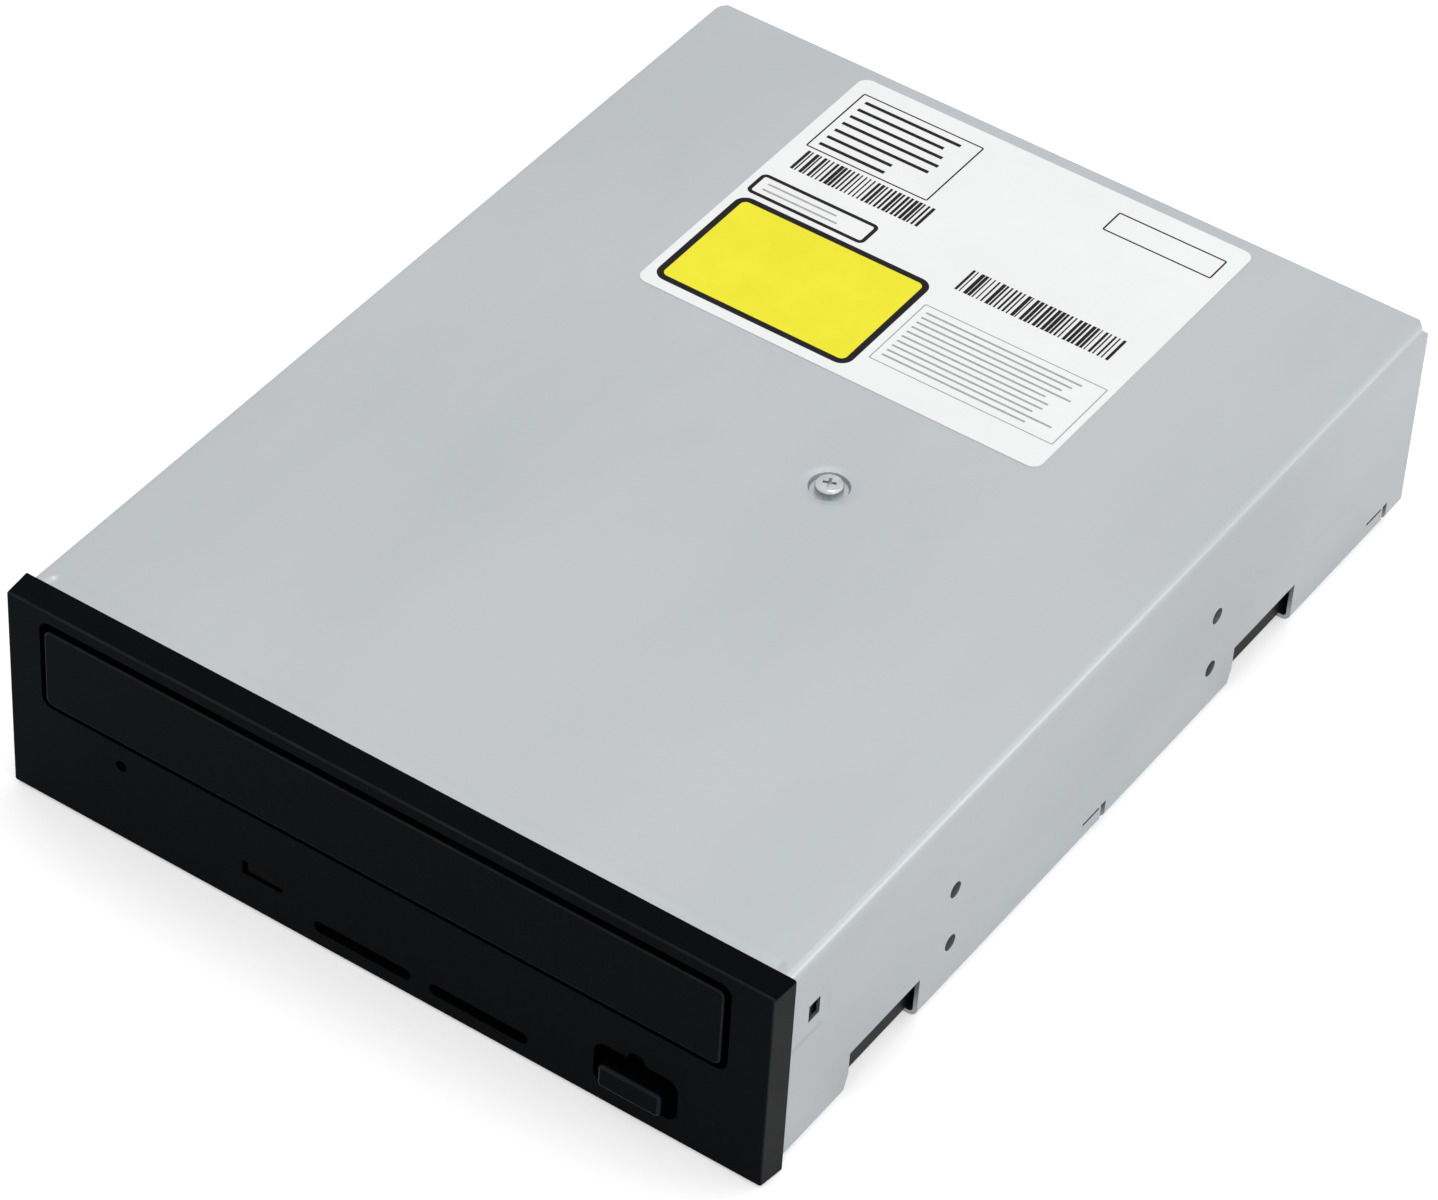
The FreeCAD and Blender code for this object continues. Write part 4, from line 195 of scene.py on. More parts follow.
def finish(name):
    # one blotchy noise drives colour and roughness, one fine noise the bump
    spec = {**plainFinish, **finishes[name]}
    made, tree, shader = blankMaterial(name)
    coord = addNode(tree, "ShaderNodeTexCoord")
    mapping = addNode(tree, "ShaderNodeMapping")
    setInput(mapping, "Scale", spec["stretch"])
    cloud = addNode(tree, "ShaderNodeTexNoise")
    setInput(cloud, "Scale", 1 / mm / spec["cloud"])
    setInput(cloud, "Detail", finishNoise["cloudDetail"])
    mix = addNode(tree, "ShaderNodeMix", data_type="RGBA")
    setInput(mix, 6, (*spec["colour"], 1.0))
    setInput(mix, 7, (*spec["cloudColour"], 1.0))
    rough = addNode(tree, "ShaderNodeMapRange")
    setInput(rough, "From Min", finishNoise["roughBand"][0])
    setInput(rough, "From Max", finishNoise["roughBand"][1])
    setInput(rough, "To Min", spec["roughness"][0])
    setInput(rough, "To Max", spec["roughness"][1])
    spread = addNode(tree, "ShaderNodeMapRange")
    setInput(spread, "From Min", finishNoise["colourBand"][0])
    setInput(spread, "From Max", finishNoise["colourBand"][1])
    grain = addNode(tree, "ShaderNodeTexNoise")
    setInput(grain, "Scale", 1 / mm / spec["grain"])
    setInput(grain, "Detail", finishNoise["grainDetail"])
    bump = addNode(tree, "ShaderNodeBump")
    setInput(bump, "Strength", 1.0)
    setInput(bump, "Distance", spec["bump"] * mm)
    wire(tree, coord.outputs["Object"], mapping.inputs["Vector"])
    wire(tree, mapping.outputs["Vector"], cloud.inputs["Vector"])
    wire(tree, mapping.outputs["Vector"], grain.inputs["Vector"])
    wire(tree, cloud.outputs["Fac"], spread.inputs["Value"])
    wire(tree, spread.outputs["Result"], mix.inputs[0])
    wire(tree, mix.outputs[2], shader.inputs["Base Color"])
    wire(tree, cloud.outputs["Fac"], rough.inputs["Value"])
    wire(tree, rough.outputs["Result"], shader.inputs["Roughness"])
    wire(tree, grain.outputs["Fac"], bump.inputs["Height"])
    wire(tree, bump.outputs["Normal"], shader.inputs["Normal"])
    setInput(shader, "Metallic", spec["metallic"])
    setInput(shader, "Specular IOR Level", spec["gloss"])
    setInput(shader, "Specular Tint", (*spec["tint"], 1.0))
    return made


materials = {name: finish(name) for name in finishes}
print("finishes made:", len(materials))


# soft shading over the solids: welded, smooth but for edges sharper than the set angle

softShading = dict(mergeDistance=0.001 * mm, sharpAngle=math.radians(26))


def socketId(tree, name):
    for item in tree.interface.items_tree:
        if item.item_type == "SOCKET" and item.in_out == "INPUT" and item.name == name:
            return item.identifier
    raise KeyError(name)


def newTree(name, inputs):
    tree = bpy.data.node_groups.new(name, "GeometryNodeTree")
    for label, kind, value in inputs:
        socket = tree.interface.new_socket(name=label, in_out="INPUT", socket_type=kind)
        if value is not None:
            socket.default_value = value
    tree.interface.new_socket(name="Geometry", in_out="OUTPUT", socket_type="NodeSocketGeometry")
    start = tree.nodes.new("NodeGroupInput")
    end = tree.nodes.new("NodeGroupOutput")
    return tree, start, end


def closeTree(tree, start, end, geometry):
    # every tree ends in real geometry that carries its finish
    real = tree.nodes.new("GeometryNodeRealizeInstances")
    paint = tree.nodes.new("GeometryNodeSetMaterial")
    wire(tree, geometry, real.inputs["Geometry"])
    wire(tree, real.outputs["Geometry"], paint.inputs["Geometry"])
    wire(tree, start.outputs["Finish"], paint.inputs["Material"])
    wire(tree, paint.outputs["Geometry"], end.inputs[0])


def shadingTree():
    tree, start, end = newTree("softShading", [
        ("Geometry", "NodeSocketGeometry", None),
        ("Merge distance", "NodeSocketFloat", softShading["mergeDistance"]),
        ("Sharp angle", "NodeSocketFloat", softShading["sharpAngle"]),
        ("Finish", "NodeSocketMaterial", None)])
    weld = addNode(tree, "GeometryNodeMergeByDistance")
    smooth = addNode(tree, "GeometryNodeSetShadeSmooth", domain="FACE")
    angle = addNode(tree, "GeometryNodeInputMeshEdgeAngle")
    sharper = addNode(tree, "FunctionNodeCompare", data_type="FLOAT", operation="GREATER_THAN")
    crease = addNode(tree, "GeometryNodeSetShadeSmooth", domain="EDGE")
    setInput(crease, "Shade Smooth", False)
    wire(tree, start.outputs["Geometry"], weld.inputs["Geometry"])
    wire(tree, start.outputs["Merge distance"], weld.inputs["Distance"])
    wire(tree, weld.outputs["Geometry"], smooth.inputs["Geometry"])
    wire(tree, angle.outputs["Unsigned Angle"], sharper.inputs[0])
    wire(tree, start.outputs["Sharp angle"], sharper.inputs[1])
    wire(tree, smooth.outputs["Geometry"], crease.inputs["Geometry"])
    wire(tree, sharper.outputs["Result"], crease.inputs["Selection"])
    closeTree(tree, start, end, crease.outputs["Geometry"])
    return tree


def grow(tree, name, values, source=None):
    # runs a tree once and keeps the result as a plain mesh piece at the origin
    mesh = source or bpy.data.meshes.new(name + "Seed")
    holder = bpy.data.objects.new(name + "Holder", mesh)
    bpy.context.scene.collection.objects.link(holder)
    modifier = holder.modifiers.new(tree.name, "NODES")
    modifier.node_group = tree
    for label, value in values.items():
        modifier[socketId(tree, label)] = value
    if source:
        # large flat faces keep their own shading up to a rounded edge
        weighted = holder.modifiers.new("flatFaces", "WEIGHTED_NORMAL")
        weighted.keep_sharp = True
    bpy.context.view_layer.update()
    evaluated = holder.evaluated_get(bpy.context.evaluated_depsgraph_get())
    result = bpy.data.meshes.new_from_object(evaluated)
    holder.modifiers.clear()
    bpy.data.objects.remove(holder)
    result.name = name
    piece = bpy.data.objects.new(name, result)
    bpy.context.scene.collection.objects.link(piece)
    return piece


# painted highlight: the rounded front edges of the moulded pieces get a lighter colour; painted
# light:
# the bezel's end faces get a lighter colour too, on a coarser texture

frontPieces = {
    # in mm: how far in from the piece's outline, and back from its front, a marked face may lie
    "front_bezel": dict(reach=0.6, depth=0.5, ends="bezelEndPaintedLight"),
    "tray_door": dict(reach=2.0, depth=0.5, ends=None),
    "eject_button": dict(reach=2.0, depth=0.6, ends=None),
}
# between flattest and steepest a face's turn to the front is that of a rounded edge
paintedEdgeHighlight = dict(finish="bezelEdgePaintedHighlight", flattest=-0.985, steepest=-0.12, endTurn=0.9)


def markFront(mesh, nodeName):
    spec = frontPieces[nodeName]
    low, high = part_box(nodeName)
    reach = spec["reach"] * mm
    mesh.materials.append(materials[paintedEdgeHighlight["finish"]])
    if spec["ends"]:
        mesh.materials.append(materials[spec["ends"]])
    for face in mesh.polygons:
        middle = face.center
        toEnds = min(middle.x - low[0], high[0] - middle.x)
        toOutline = min(toEnds, middle.z - low[2], high[2] - middle.z)
        atFront = middle.y - low[1] < spec["depth"] * mm
        rounded = paintedEdgeHighlight["flattest"] < face.normal.y < paintedEdgeHighlight["steepest"]
        if toOutline < reach and atFront and rounded:
            # painted highlight on a rounded front edge
            face.material_index = 1
        elif spec["ends"] and toEnds < reach and abs(face.normal.x) > paintedEdgeHighlight["endTurn"]:
            # painted light: a lighter colour on the bezel's end faces
            face.material_index = 2


def foldRibbon(piece):
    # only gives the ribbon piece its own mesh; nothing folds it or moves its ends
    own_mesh(piece)


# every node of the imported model, dressed in its finish

shading = shadingTree()
nodeFinish = {"top_cover": "coverSteel", "bottom_cover": "coverSteel"}
for nodeName, original in frame["nodes"].items():
    finishName = nodeFinish.get(nodeName, finishOfSlot[slotOf[nodeName]])
    bareMesh = original.data.copy()
    bareMesh.materials.clear()
    piece = grow(shading, nodeName + ".dressed", {"Finish": materials[finishName]}, bareMesh)
    if nodeName in frontPieces:
        markFront(piece.data, nodeName)
    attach(piece, bodyOf[nodeName])
    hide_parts(nodeName)
    if nodeName == "pickup_ribbon":
        foldRibbon(piece)
print("solids dressed")


# chip legs on the main board, too fine for the solids

chipLegs = dict(
    # in mm: the row's gap to each corner, how far a leg goes out, its height at the chip and its root
    # inside; knee and heel are shares of the reach; board is the board's top; a chip is x, y and half
    # its side
    finish="screwSteel", pitch=1.0, cornerGap=1.0, reach=1.1, height=0.75, root=0.1, knee=0.75,
    heel=0.2, width=0.42, thickness=0.16, steps=5, board=5.0,
    chips=[(-20.0, 60.0, 12.0), (24.0, 58.0, 10.0), (-38.0, 32.0, 8.0), (4.0, 30.0, 7.0)])
chipSides = 4


def legTree():
    # one side's row of gull-wing legs, turned round the chip four times
    tree, start, end = newTree("chipLegs", [
        ("Legs per side", "NodeSocketInt", 16),
        ("First leg", "NodeSocketVector", None),
        ("Pitch", "NodeSocketVector", None),
        ("Shoulder", "NodeSocketVector", None),
        ("Knee", "NodeSocketVector", None),
        ("Heel", "NodeSocketVector", None),
        ("Foot", "NodeSocketVector", None),
        ("Leg width", "NodeSocketFloat", 0.4 * mm),
        ("Leg thickness", "NodeSocketFloat", 0.15 * mm),
        ("Steps", "NodeSocketInt", 5),
        ("Middle", "NodeSocketVector", None),
        ("Finish", "NodeSocketMaterial", None)])
    bend = addNode(tree, "GeometryNodeCurvePrimitiveBezierSegment", mode="POSITION")
    strip = addNode(tree, "GeometryNodeCurvePrimitiveQuadrilateral")
    leg = addNode(tree, "GeometryNodeCurveToMesh")
    setInput(leg, "Fill Caps", True)
    row = addNode(tree, "GeometryNodeMeshLine", mode="OFFSET")
    side = addNode(tree, "GeometryNodeInstanceOnPoints")
    fourSides = addNode(tree, "GeometryNodeMeshLine", mode="OFFSET")
    setInput(fourSides, "Count", chipSides)
    setInput(fourSides, "Offset", (0.0, 0.0, 0.0))
    index = addNode(tree, "GeometryNodeInputIndex")
    quarter = addNode(tree, "ShaderNodeMath", operation="MULTIPLY")
    setInput(quarter, 1, 2 * math.pi / chipSides)
    turn = addNode(tree, "ShaderNodeCombineXYZ")
    allSides = addNode(tree, "GeometryNodeInstanceOnPoints")
    place = addNode(tree, "GeometryNodeTransform")
    wire(tree, start.outputs["Steps"], bend.inputs["Resolution"])
    wire(tree, start.outputs["Shoulder"], bend.inputs["Start"])
    wire(tree, start.outputs["Knee"], bend.inputs["Start Handle"])
    wire(tree, start.outputs["Heel"], bend.inputs["End Handle"])
    wire(tree, start.outputs["Foot"], bend.inputs["End"])
    wire(tree, start.outputs["Leg width"], strip.inputs["Width"])
    wire(tree, start.outputs["Leg thickness"], strip.inputs["Height"])
    wire(tree, bend.outputs["Curve"], leg.inputs["Curve"])
    wire(tree, strip.outputs["Curve"], leg.inputs["Profile Curve"])
    wire(tree, start.outputs["Legs per side"], row.inputs["Count"])
    wire(tree, start.outputs["First leg"], row.inputs["Start Location"])
    wire(tree, start.outputs["Pitch"], row.inputs["Offset"])
    wire(tree, row.outputs["Mesh"], side.inputs["Points"])
    wire(tree, leg.outputs["Mesh"], side.inputs["Instance"])
    wire(tree, index.outputs["Index"], quarter.inputs[0])
    wire(tree, quarter.outputs["Value"], turn.inputs["Z"])
    wire(tree, fourSides.outputs["Mesh"], allSides.inputs["Points"])
    wire(tree, side.outputs["Instances"], allSides.inputs["Instance"])
    wire(tree, turn.outputs["Vector"], allSides.inputs["Rotation"])
    wire(tree, allSides.outputs["Instances"], place.inputs["Geometry"])
    wire(tree, start.outputs["Middle"], place.inputs["Translation"])
    closeTree(tree, start, end, place.outputs["Geometry"])
    return tree


def addChipLegs():
    tree = legTree()
    reach, foot = chipLegs["reach"] * mm, chipLegs["thickness"] / 2 * mm
    height = chipLegs["height"] * mm
    for number, (x, y, half) in enumerate(chipLegs["chips"], 1):
        count = int(2 * (half - chipLegs["cornerGap"]) / chipLegs["pitch"]) + 1
        across = (count - 1) * chipLegs["pitch"] / 2
        piece = grow(tree, "chipLegs" + str(number), {
            "Legs per side": count, "First leg": (-across * mm, half * mm, 0.0),
            "Pitch": (chipLegs["pitch"] * mm, 0.0, 0.0),
            "Shoulder": (0.0, -chipLegs["root"] * mm, height),
            "Knee": (0.0, reach * chipLegs["knee"], height),
            "Heel": (0.0, reach * chipLegs["heel"], foot), "Foot": (0.0, reach, foot),
            "Leg width": chipLegs["width"] * mm, "Leg thickness": chipLegs["thickness"] * mm,
            "Steps": chipLegs["steps"], "Middle": (x * mm, y * mm, chipLegs["board"] * mm),
            "Finish": materials[chipLegs["finish"]]})
        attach(piece, "case")


# the thread of the feed screw, too fine for the solids

screwThread = dict(
    # in mm: the lead, the ridge's own radius, how far it stands proud, the plain length at each end
    finish="groundSteel", lead=3.0, ridge=0.36, proud=0.2, ends=1.9, steps=20, sides=6,
    tiltRounds=8)


def threadTree():
    # a ridge wound round an upright axis, then laid along the screw
    tree, start, end = newTree("screwThread", [
        ("Turns", "NodeSocketFloat", 10.0),
        ("Steps per turn", "NodeSocketInt", 20),
        ("Length", "NodeSocketFloat", 30 * mm),
        ("Radius", "NodeSocketFloat", 1.2 * mm),
        ("Ridge", "NodeSocketFloat", 0.3 * mm),
        ("Ridge sides", "NodeSocketInt", 6),
        ("Rotation", "NodeSocketRotation", None),
        ("First end", "NodeSocketVector", None),
        ("Finish", "NodeSocketMaterial", None)])
    wound = addNode(tree, "GeometryNodeCurveSpiral")
    section = addNode(tree, "GeometryNodeCurvePrimitiveCircle", mode="RADIUS")
    ridge = addNode(tree, "GeometryNodeCurveToMesh")
    setInput(ridge, "Fill Caps", True)
    soft = addNode(tree, "GeometryNodeSetShadeSmooth", domain="FACE")
    lay = addNode(tree, "GeometryNodeTransform")
    wire(tree, start.outputs["Steps per turn"], wound.inputs["Resolution"])
    wire(tree, start.outputs["Turns"], wound.inputs["Rotations"])
    wire(tree, start.outputs["Radius"], wound.inputs["Start Radius"])
    wire(tree, start.outputs["Radius"], wound.inputs["End Radius"])
    wire(tree, start.outputs["Length"], wound.inputs["Height"])
    wire(tree, start.outputs["Ridge sides"], section.inputs["Resolution"])
    wire(tree, start.outputs["Ridge"], section.inputs["Radius"])
    wire(tree, wound.outputs["Curve"], ridge.inputs["Curve"])
    wire(tree, section.outputs["Curve"], ridge.inputs["Profile Curve"])
    wire(tree, ridge.outputs["Mesh"], soft.inputs["Geometry"])
    wire(tree, soft.outputs["Geometry"], lay.inputs["Geometry"])
    wire(tree, start.outputs["Rotation"], lay.inputs["Rotation"])
    wire(tree, start.outputs["First end"], lay.inputs["Translation"])
    closeTree(tree, start, end, lay.outputs["Geometry"])
    return tree


def addThread():
    low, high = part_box("lead_screw")
    radius = (high[0] - low[0]) / 2
    middle = [(one + other) / 2 for one, other in zip(low, high)]
    tilt = 0.0
    for attempt in range(screwThread["tiltRounds"]):
        # the tilt and the length come from the box of a tilted rod
        along = high[1] - low[1] - 2 * radius * math.sin(tilt)
        rise = high[2] - low[2] - 2 * radius * math.cos(tilt)
        tilt = math.atan2(rise, along)
    length = math.hypot(along, rise) - 2 * screwThread["ends"] * mm
    firstEnd = (middle[0], middle[1] - length / 2 * math.cos(tilt),
                middle[2] - length / 2 * math.sin(tilt))
    piece = grow(threadTree(), "feedThread", {
        "Turns": length / (screwThread["lead"] * mm), "Steps per turn": screwThread["steps"],
        "Length": length,
        "Radius": radius + (screwThread["proud"] - screwThread["ridge"]) * mm,
        "Ridge": screwThread["ridge"] * mm, "Ridge sides": screwThread["sides"],
        "Rotation": (tilt - math.pi / 2, 0.0, 0.0), "First end": firstEnd,
        "Finish": materials[screwThread["finish"]]})
    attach(piece, "lead_screw")


addChipLegs()
addThread()
print("chip legs and feed screw thread added")


# printed marks on the sticker: plain panels with rounded borders, bars and ruled lines

labelPrint = dict(rearEdge=105.575, surface=40.82, inkHeight=0.02, lift=0.004, cornerSteps=6,
                  leastCorner=0.05)
panels = [
    # left, right, nearest and furthest from the rear edge, border, corner, finishes of both
    dict(box=(-38.6, 1.0, 43.0, 70.3), border=1.25, corner=2.4, ink="labelInk", fill="labelYellow"),
    dict(box=(-38.9, -14.7, 35.8, 41.8), border=0.75, corner=1.2, ink="labelInk", fill=None),
    dict(box=(-37.6, -12.4, 6.5, 25.0), border=0.28, corner=0.4, ink="labelInk", fill=None),
    dict(box=(2.6, 39.0, 48.3, 65.8), border=0.2, corner=0.3, ink="labelGrey", fill=None),
    dict(box=(15.6, 37.4, 7.0, 12.8), border=0.3, corner=0.4, ink="labelInk", fill=None),
]
printedRows = [
    # first and last across, nearest and furthest from the rear edge, pitch, thinnest and thickest
    dict(name="stickerBars1", across=(-36.3, -9.6), along=(25.9, 31.9), pitch=0.86,
         marks=(0.22, 0.74), seed=4, ink="labelInk"),
    dict(name="stickerBars2", across=(4.2, 36.0), along=(35.7, 41.9), pitch=0.86,
         marks=(0.22, 0.74), seed=9, ink="labelInk"),
]
ruledBlocks = [
    # left edge, first and last line from the rear edge, pitch, line width, shortest and longest
    dict(name="stickerLines1", left=-36.0, lines=(8.6, 23.2), pitch=2.4, width=0.75,
         marks=(11.0, 21.0), seed=3, ink="labelInk"),
    dict(name="stickerLines2", left=4.0, lines=(50.2, 64.6), pitch=1.5, width=0.42,
         marks=(27.0, 33.0), seed=6, ink="labelGrey"),
    dict(name="stickerLines3", left=-36.6, lines=(38.0, 40.0), pitch=1.7, width=0.4,
         marks=(13.0, 18.0), seed=2, ink="labelGrey"),
]


def roundedOutline(x0, x1, y0, y1, corner):
    steps = labelPrint["cornerSteps"]
    left, right, front, rear = x0 + corner, x1 - corner, y0 + corner, y1 - corner
    centres = [(right, rear), (left, rear), (left, front), (right, front)]
    points = []
    for quarter, (cx, cy) in enumerate(centres):
        for step in range(steps + 1):
            angle = (quarter + step / steps) * math.pi / 2
            points.append((cx + corner * math.cos(angle), cy + corner * math.sin(angle)))
    return points


def levelRing(builder, points, z):
    return [builder.verts.new((x * mm, y * mm, z * mm)) for x, y in points]


def joinRings(builder, one, other):
    count = len(one)
    for index in range(count):
        after = (index + 1) % count
        builder.faces.new([one[index], one[after], other[after], other[index]])


def printedFrame(builder, outer, inner, low, high):
    outerLow = levelRing(builder, outer, low)
    outerHigh = levelRing(builder, outer, high)
    innerHigh = levelRing(builder, inner, high)
    innerLow = levelRing(builder, inner, low)
    joinRings(builder, outerLow, outerHigh)
    joinRings(builder, outerHigh, innerHigh)
    joinRings(builder, innerHigh, innerLow)
    joinRings(builder, innerLow, outerLow)


def printedPatch(builder, outline, low, high):
    lower = levelRing(builder, outline, low)
    upper = levelRing(builder, outline, high)
    joinRings(builder, lower, upper)
    builder.faces.new(list(reversed(lower)))
    builder.faces.new(upper)


def addPrint(builder, name, finishName):
    mesh = bpy.data.meshes.new(name)
    bmesh.ops.recalc_face_normals(builder, faces=builder.faces)
    builder.to_mesh(mesh)
    builder.free()
    mesh.materials.append(materials[finishName])
    piece = bpy.data.objects.new(name, mesh)
    bpy.context.scene.collection.objects.link(piece)
    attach(piece, "case")


def printPanels():
    inks = {}
    low = labelPrint["surface"] + labelPrint["lift"]
    high = low + labelPrint["inkHeight"]
    for panel in panels:
        x0, x1, near, far = panel["box"]
        y0 = labelPrint["rearEdge"] - far
        y1 = labelPrint["rearEdge"] - near
        border = panel["border"]
        outer = roundedOutline(x0, x1, y0, y1, panel["corner"])
        inner = roundedOutline(x0 + border, x1 - border, y0 + border, y1 - border,
                               max(panel["corner"] - border, labelPrint["leastCorner"]))
        printedFrame(inks.setdefault(panel["ink"], bmesh.new()), outer, inner, low, high)
        if panel["fill"]:
            printedPatch(inks.setdefault(panel["fill"], bmesh.new()), inner, low, high)
    for ink, builder in inks.items():
        addPrint(builder, ink.replace("label", "sticker"), ink)


def markTree():
    # a row of flat printed marks, each of its own size across, set out from the first by one step
    tree, start, end = newTree("printedMarks", [
        ("Marks", "NodeSocketInt", 30),
        ("First mark", "NodeSocketVector", None),
        ("Step", "NodeSocketVector", None),
        ("Smallest across", "NodeSocketFloat", 0.2 * mm),
        ("Largest across", "NodeSocketFloat", 0.7 * mm),
        ("Size along", "NodeSocketFloat", 6 * mm),
        ("Ink height", "NodeSocketFloat", 0.02 * mm),
        ("Seed", "NodeSocketInt", 1),
        ("Finish", "NodeSocketMaterial", None)])
    line = addNode(tree, "GeometryNodeMeshLine", mode="OFFSET")
    mark = addNode(tree, "GeometryNodeMeshCube")
    fromLeft = addNode(tree, "GeometryNodeTransform")
    setInput(fromLeft, "Translation", (0.5, 0.0, 0.0))  # a mark grows to the right of its point
    size = addNode(tree, "ShaderNodeCombineXYZ")
    across = addNode(tree, "FunctionNodeRandomValue", data_type="FLOAT")
    place = addNode(tree, "GeometryNodeInstanceOnPoints")
    wire(tree, start.outputs["Marks"], line.inputs["Count"])
    wire(tree, start.outputs["First mark"], line.inputs["Start Location"])
    wire(tree, start.outputs["Step"], line.inputs["Offset"])
    wire(tree, start.outputs["Smallest across"], across.inputs[2])
    wire(tree, start.outputs["Largest across"], across.inputs[3])
    wire(tree, start.outputs["Seed"], across.inputs["Seed"])
    wire(tree, across.outputs[1], size.inputs["X"])
    wire(tree, start.outputs["Size along"], size.inputs["Y"])
    wire(tree, start.outputs["Ink height"], size.inputs["Z"])
    wire(tree, mark.outputs["Mesh"], fromLeft.inputs["Geometry"])
    wire(tree, line.outputs["Mesh"], place.inputs["Points"])
    wire(tree, fromLeft.outputs["Geometry"], place.inputs["Instance"])
    wire(tree, size.outputs["Vector"], place.inputs["Scale"])
    closeTree(tree, start, end, place.outputs["Instances"])
    return tree


def printMarks(tree, spec, count, first, step, along):
    height = labelPrint["surface"] + labelPrint["lift"] + labelPrint["inkHeight"] / 2
    piece = grow(tree, spec["name"], {
        "Marks": count, "First mark": (first[0] * mm, first[1] * mm, height * mm),
        "Step": (step[0] * mm, step[1] * mm, 0.0), "Size along": along * mm,
        "Smallest across": spec["marks"][0] * mm, "Largest across": spec["marks"][1] * mm,
        "Ink height": labelPrint["inkHeight"] * mm, "Seed": spec["seed"],
        "Finish": materials[spec["ink"]]})
    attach(piece, "case")


def printRows():
    tree = markTree()
    for row in printedRows:
        near, far = row["along"]
        count = int((row["across"][1] - row["across"][0]) / row["pitch"])
        first = (row["across"][0], labelPrint["rearEdge"] - (near + far) / 2)
        printMarks(tree, row, count, first, (row["pitch"], 0.0), far - near)
    for block in ruledBlocks:
        near, far = block["lines"]
        count = int((far - near) / block["pitch"]) + 1
        first = (block["left"], labelPrint["rearEdge"] - near)
        printMarks(tree, block, count, first, (0.0, -block["pitch"]), block["width"])


printPanels()
printRows()
print("sticker printed")


# camera at the photograph's angle

cameraView = dict(
    # angles in degrees; aim and the offset from it across, down and away, in mm; farthest in metres
    azimuth=32.178, elevation=42.553, roll=3.647, lens=149.10, sensor=36.0, farthest=20,
    aim=(0.0, 7.975, 21.2), offset=(3.8, -10.119, 988.652))


def addCamera():
    azimuth = math.radians(cameraView["azimuth"])
    elevation = math.radians(cameraView["elevation"])
    roll = math.radians(cameraView["roll"])
    back = Vector((math.sin(azimuth) * math.cos(elevation),
                   -math.cos(azimuth) * math.cos(elevation),
                   math.sin(elevation)))
    right = (-back).cross(Vector((0, 0, 1))).normalized()
    up = right.cross(-back)
    turnedRight = math.cos(roll) * right + math.sin(roll) * up
    turnedUp = math.cos(roll) * up - math.sin(roll) * right
    across, down, away = cameraView["offset"]
    place = Vector(cameraView["aim"]) - across * turnedRight + down * turnedUp + away * back
    data = bpy.data.cameras.new("camera")
    data.lens = cameraView["lens"]
    data.sensor_width = cameraView["sensor"]
    data.clip_end = cameraView["farthest"]
    camera = bpy.data.objects.new("camera", data)
    bpy.context.scene.collection.objects.link(camera)
    turn = Matrix((turnedRight, turnedUp, back)).transposed()
    camera.matrix_world = Matrix.Translation(place * mm) @ turn.to_4x4()
    bpy.context.scene.camera = camera


# pale floor and soft studio light

studio = dict(
    # size in metres, height in mm; glow is what the camera sees of the floor beyond its own colour
    floorSize=6.0, floorHeight=-0.85, floorColour=(0.86, 0.86, 0.86), floorRoughness=0.9,
    floorGloss=0.1, floorGlow=0.42, floorInGloss=0.40, skyLight=0.80)
lamps = [
    # places and sizes in metres, power in watts
    dict(name="overhead", place=(0.12, 0.32, 1.46), size=0.5, power=2.4),
    dict(name="rightSide", place=(1.1, -0.2, 0.7), size=0.9, power=2.0),
    dict(name="rearRight", place=(0.80, 0.57, 0.72), size=0.5, power=1.0),
]


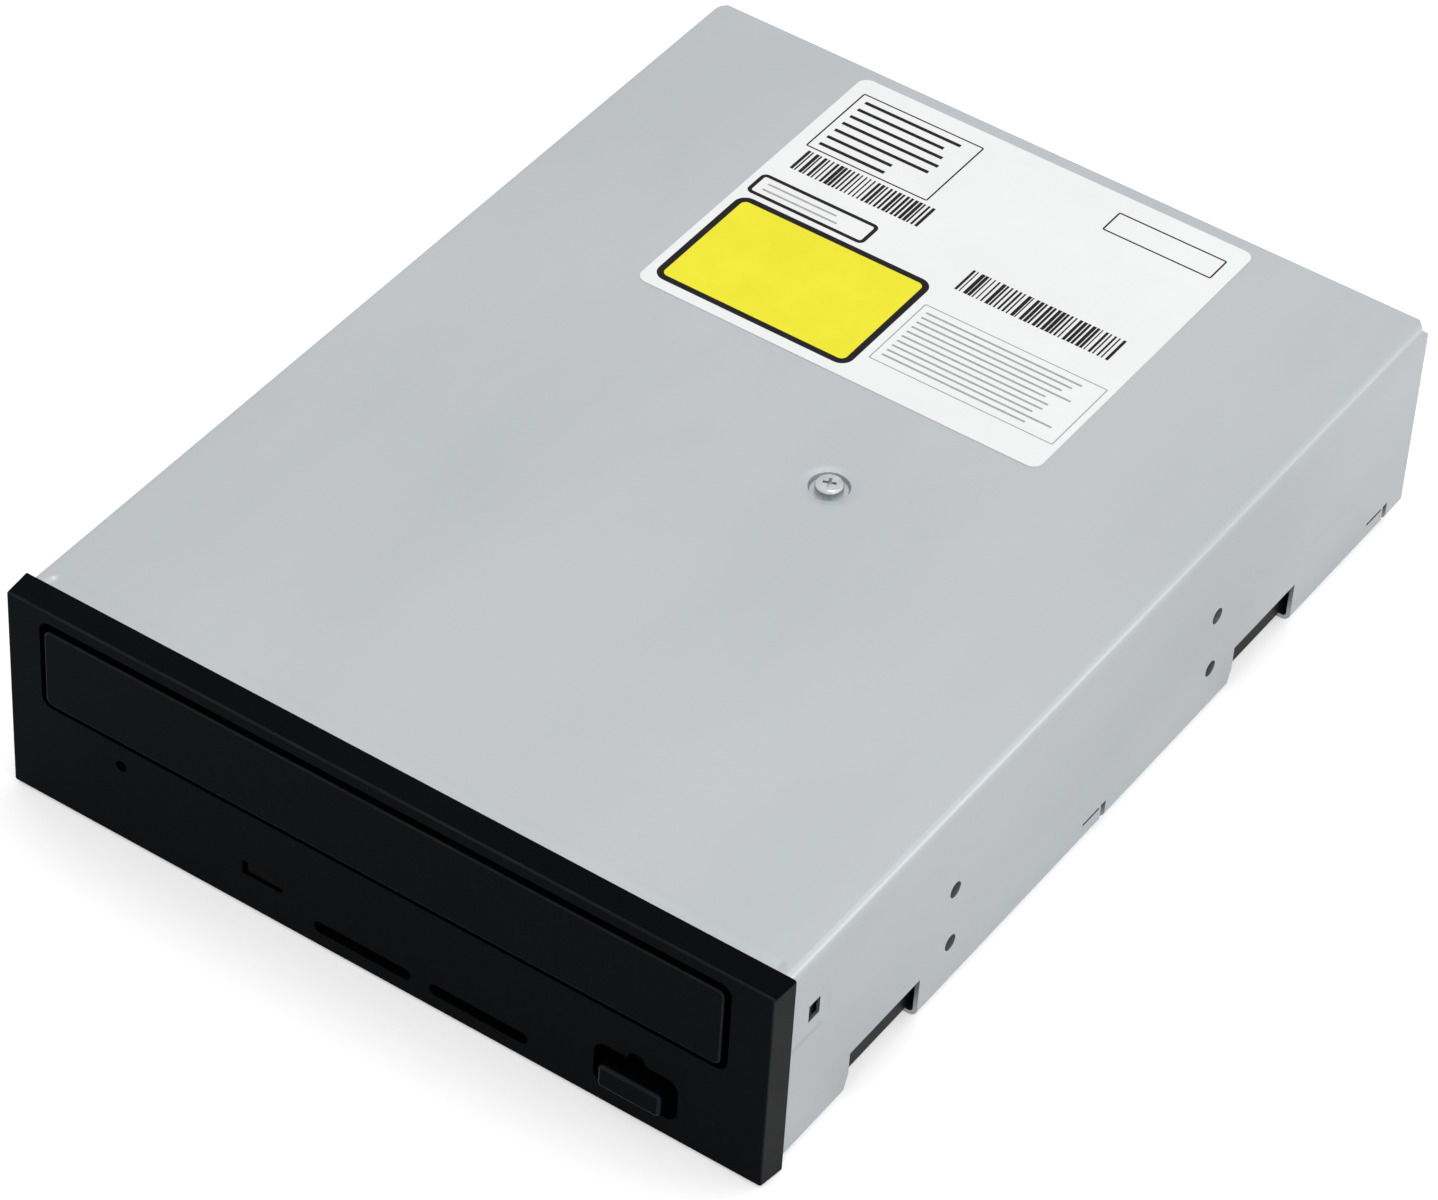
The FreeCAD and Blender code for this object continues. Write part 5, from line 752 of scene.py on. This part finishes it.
def seenPlainly(tree, mirrored=1.0):
    # 1 for what the camera sees, and the mirrored share for what a gloss or a clear piece shows
    path = addNode(tree, "ShaderNodeLightPath")
    bounced = addNode(tree, "ShaderNodeMath", operation="MAXIMUM")
    share = addNode(tree, "ShaderNodeMath", operation="MULTIPLY")
    seen = addNode(tree, "ShaderNodeMath", operation="MAXIMUM")
    wire(tree, path.outputs["Is Glossy Ray"], bounced.inputs[0])
    wire(tree, path.outputs["Is Transmission Ray"], bounced.inputs[1])
    wire(tree, bounced.outputs["Value"], share.inputs[0])
    setInput(share, 1, mirrored)
    wire(tree, path.outputs["Is Camera Ray"], seen.inputs[0])
    wire(tree, share.outputs["Value"], seen.inputs[1])
    return seen.outputs["Value"]


def addStage():
    half = studio["floorSize"] / 2
    mesh = bpy.data.meshes.new("floor")
    height = studio["floorHeight"] * mm
    corners = [(-half, -half, height), (half, -half, height),
               (half, half, height), (-half, half, height)]
    mesh.from_pydata(corners, [], [(0, 1, 2, 3)])
    made, tree, shader = blankMaterial("floorPale")
    setInput(shader, "Base Color", (*studio["floorColour"], 1.0))
    setInput(shader, "Roughness", studio["floorRoughness"])
    setInput(shader, "Specular IOR Level", studio["floorGloss"])
    setInput(shader, "Emission Color", (1.0, 1.0, 1.0, 1.0))
    glow = addNode(tree, "ShaderNodeMath", operation="MULTIPLY")
    setInput(glow, 1, studio["floorGlow"])
    wire(tree, seenPlainly(tree, studio["floorInGloss"]), glow.inputs[0])
    wire(tree, glow.outputs["Value"], shader.inputs["Emission Strength"])
    mesh.materials.append(made)
    floor = bpy.data.objects.new("floor", mesh)
    bpy.context.scene.collection.objects.link(floor)


def addLight():
    world = bpy.data.worlds.new("studio")
    bpy.context.scene.world = world
    world.use_nodes = True
    tree = world.node_tree
    backdrop = tree.nodes["Background"]
    level = addNode(tree, "ShaderNodeMapRange")
    setInput(level, "To Min", studio["skyLight"])
    setInput(level, "To Max", 1.0)
    wire(tree, seenPlainly(tree), level.inputs["Value"])
    wire(tree, level.outputs["Result"], backdrop.inputs["Strength"])
    setInput(backdrop, "Color", (1.0, 1.0, 1.0, 1.0))
    for lamp in lamps:
        data = bpy.data.lights.new(lamp["name"], "AREA")
        data.size = lamp["size"]
        data.energy = lamp["power"]
        light = bpy.data.objects.new(lamp["name"], data)
        bpy.context.scene.collection.objects.link(light)
        place = Vector(lamp["place"])
        turn = (-place).to_track_quat("-Z", "Y").to_matrix().to_4x4()
        light.matrix_world = Matrix.Translation(place) @ turn


addCamera()
addStage()
addLight()
bpy.context.scene.view_settings.view_transform = "Standard"
print("stage and light set")
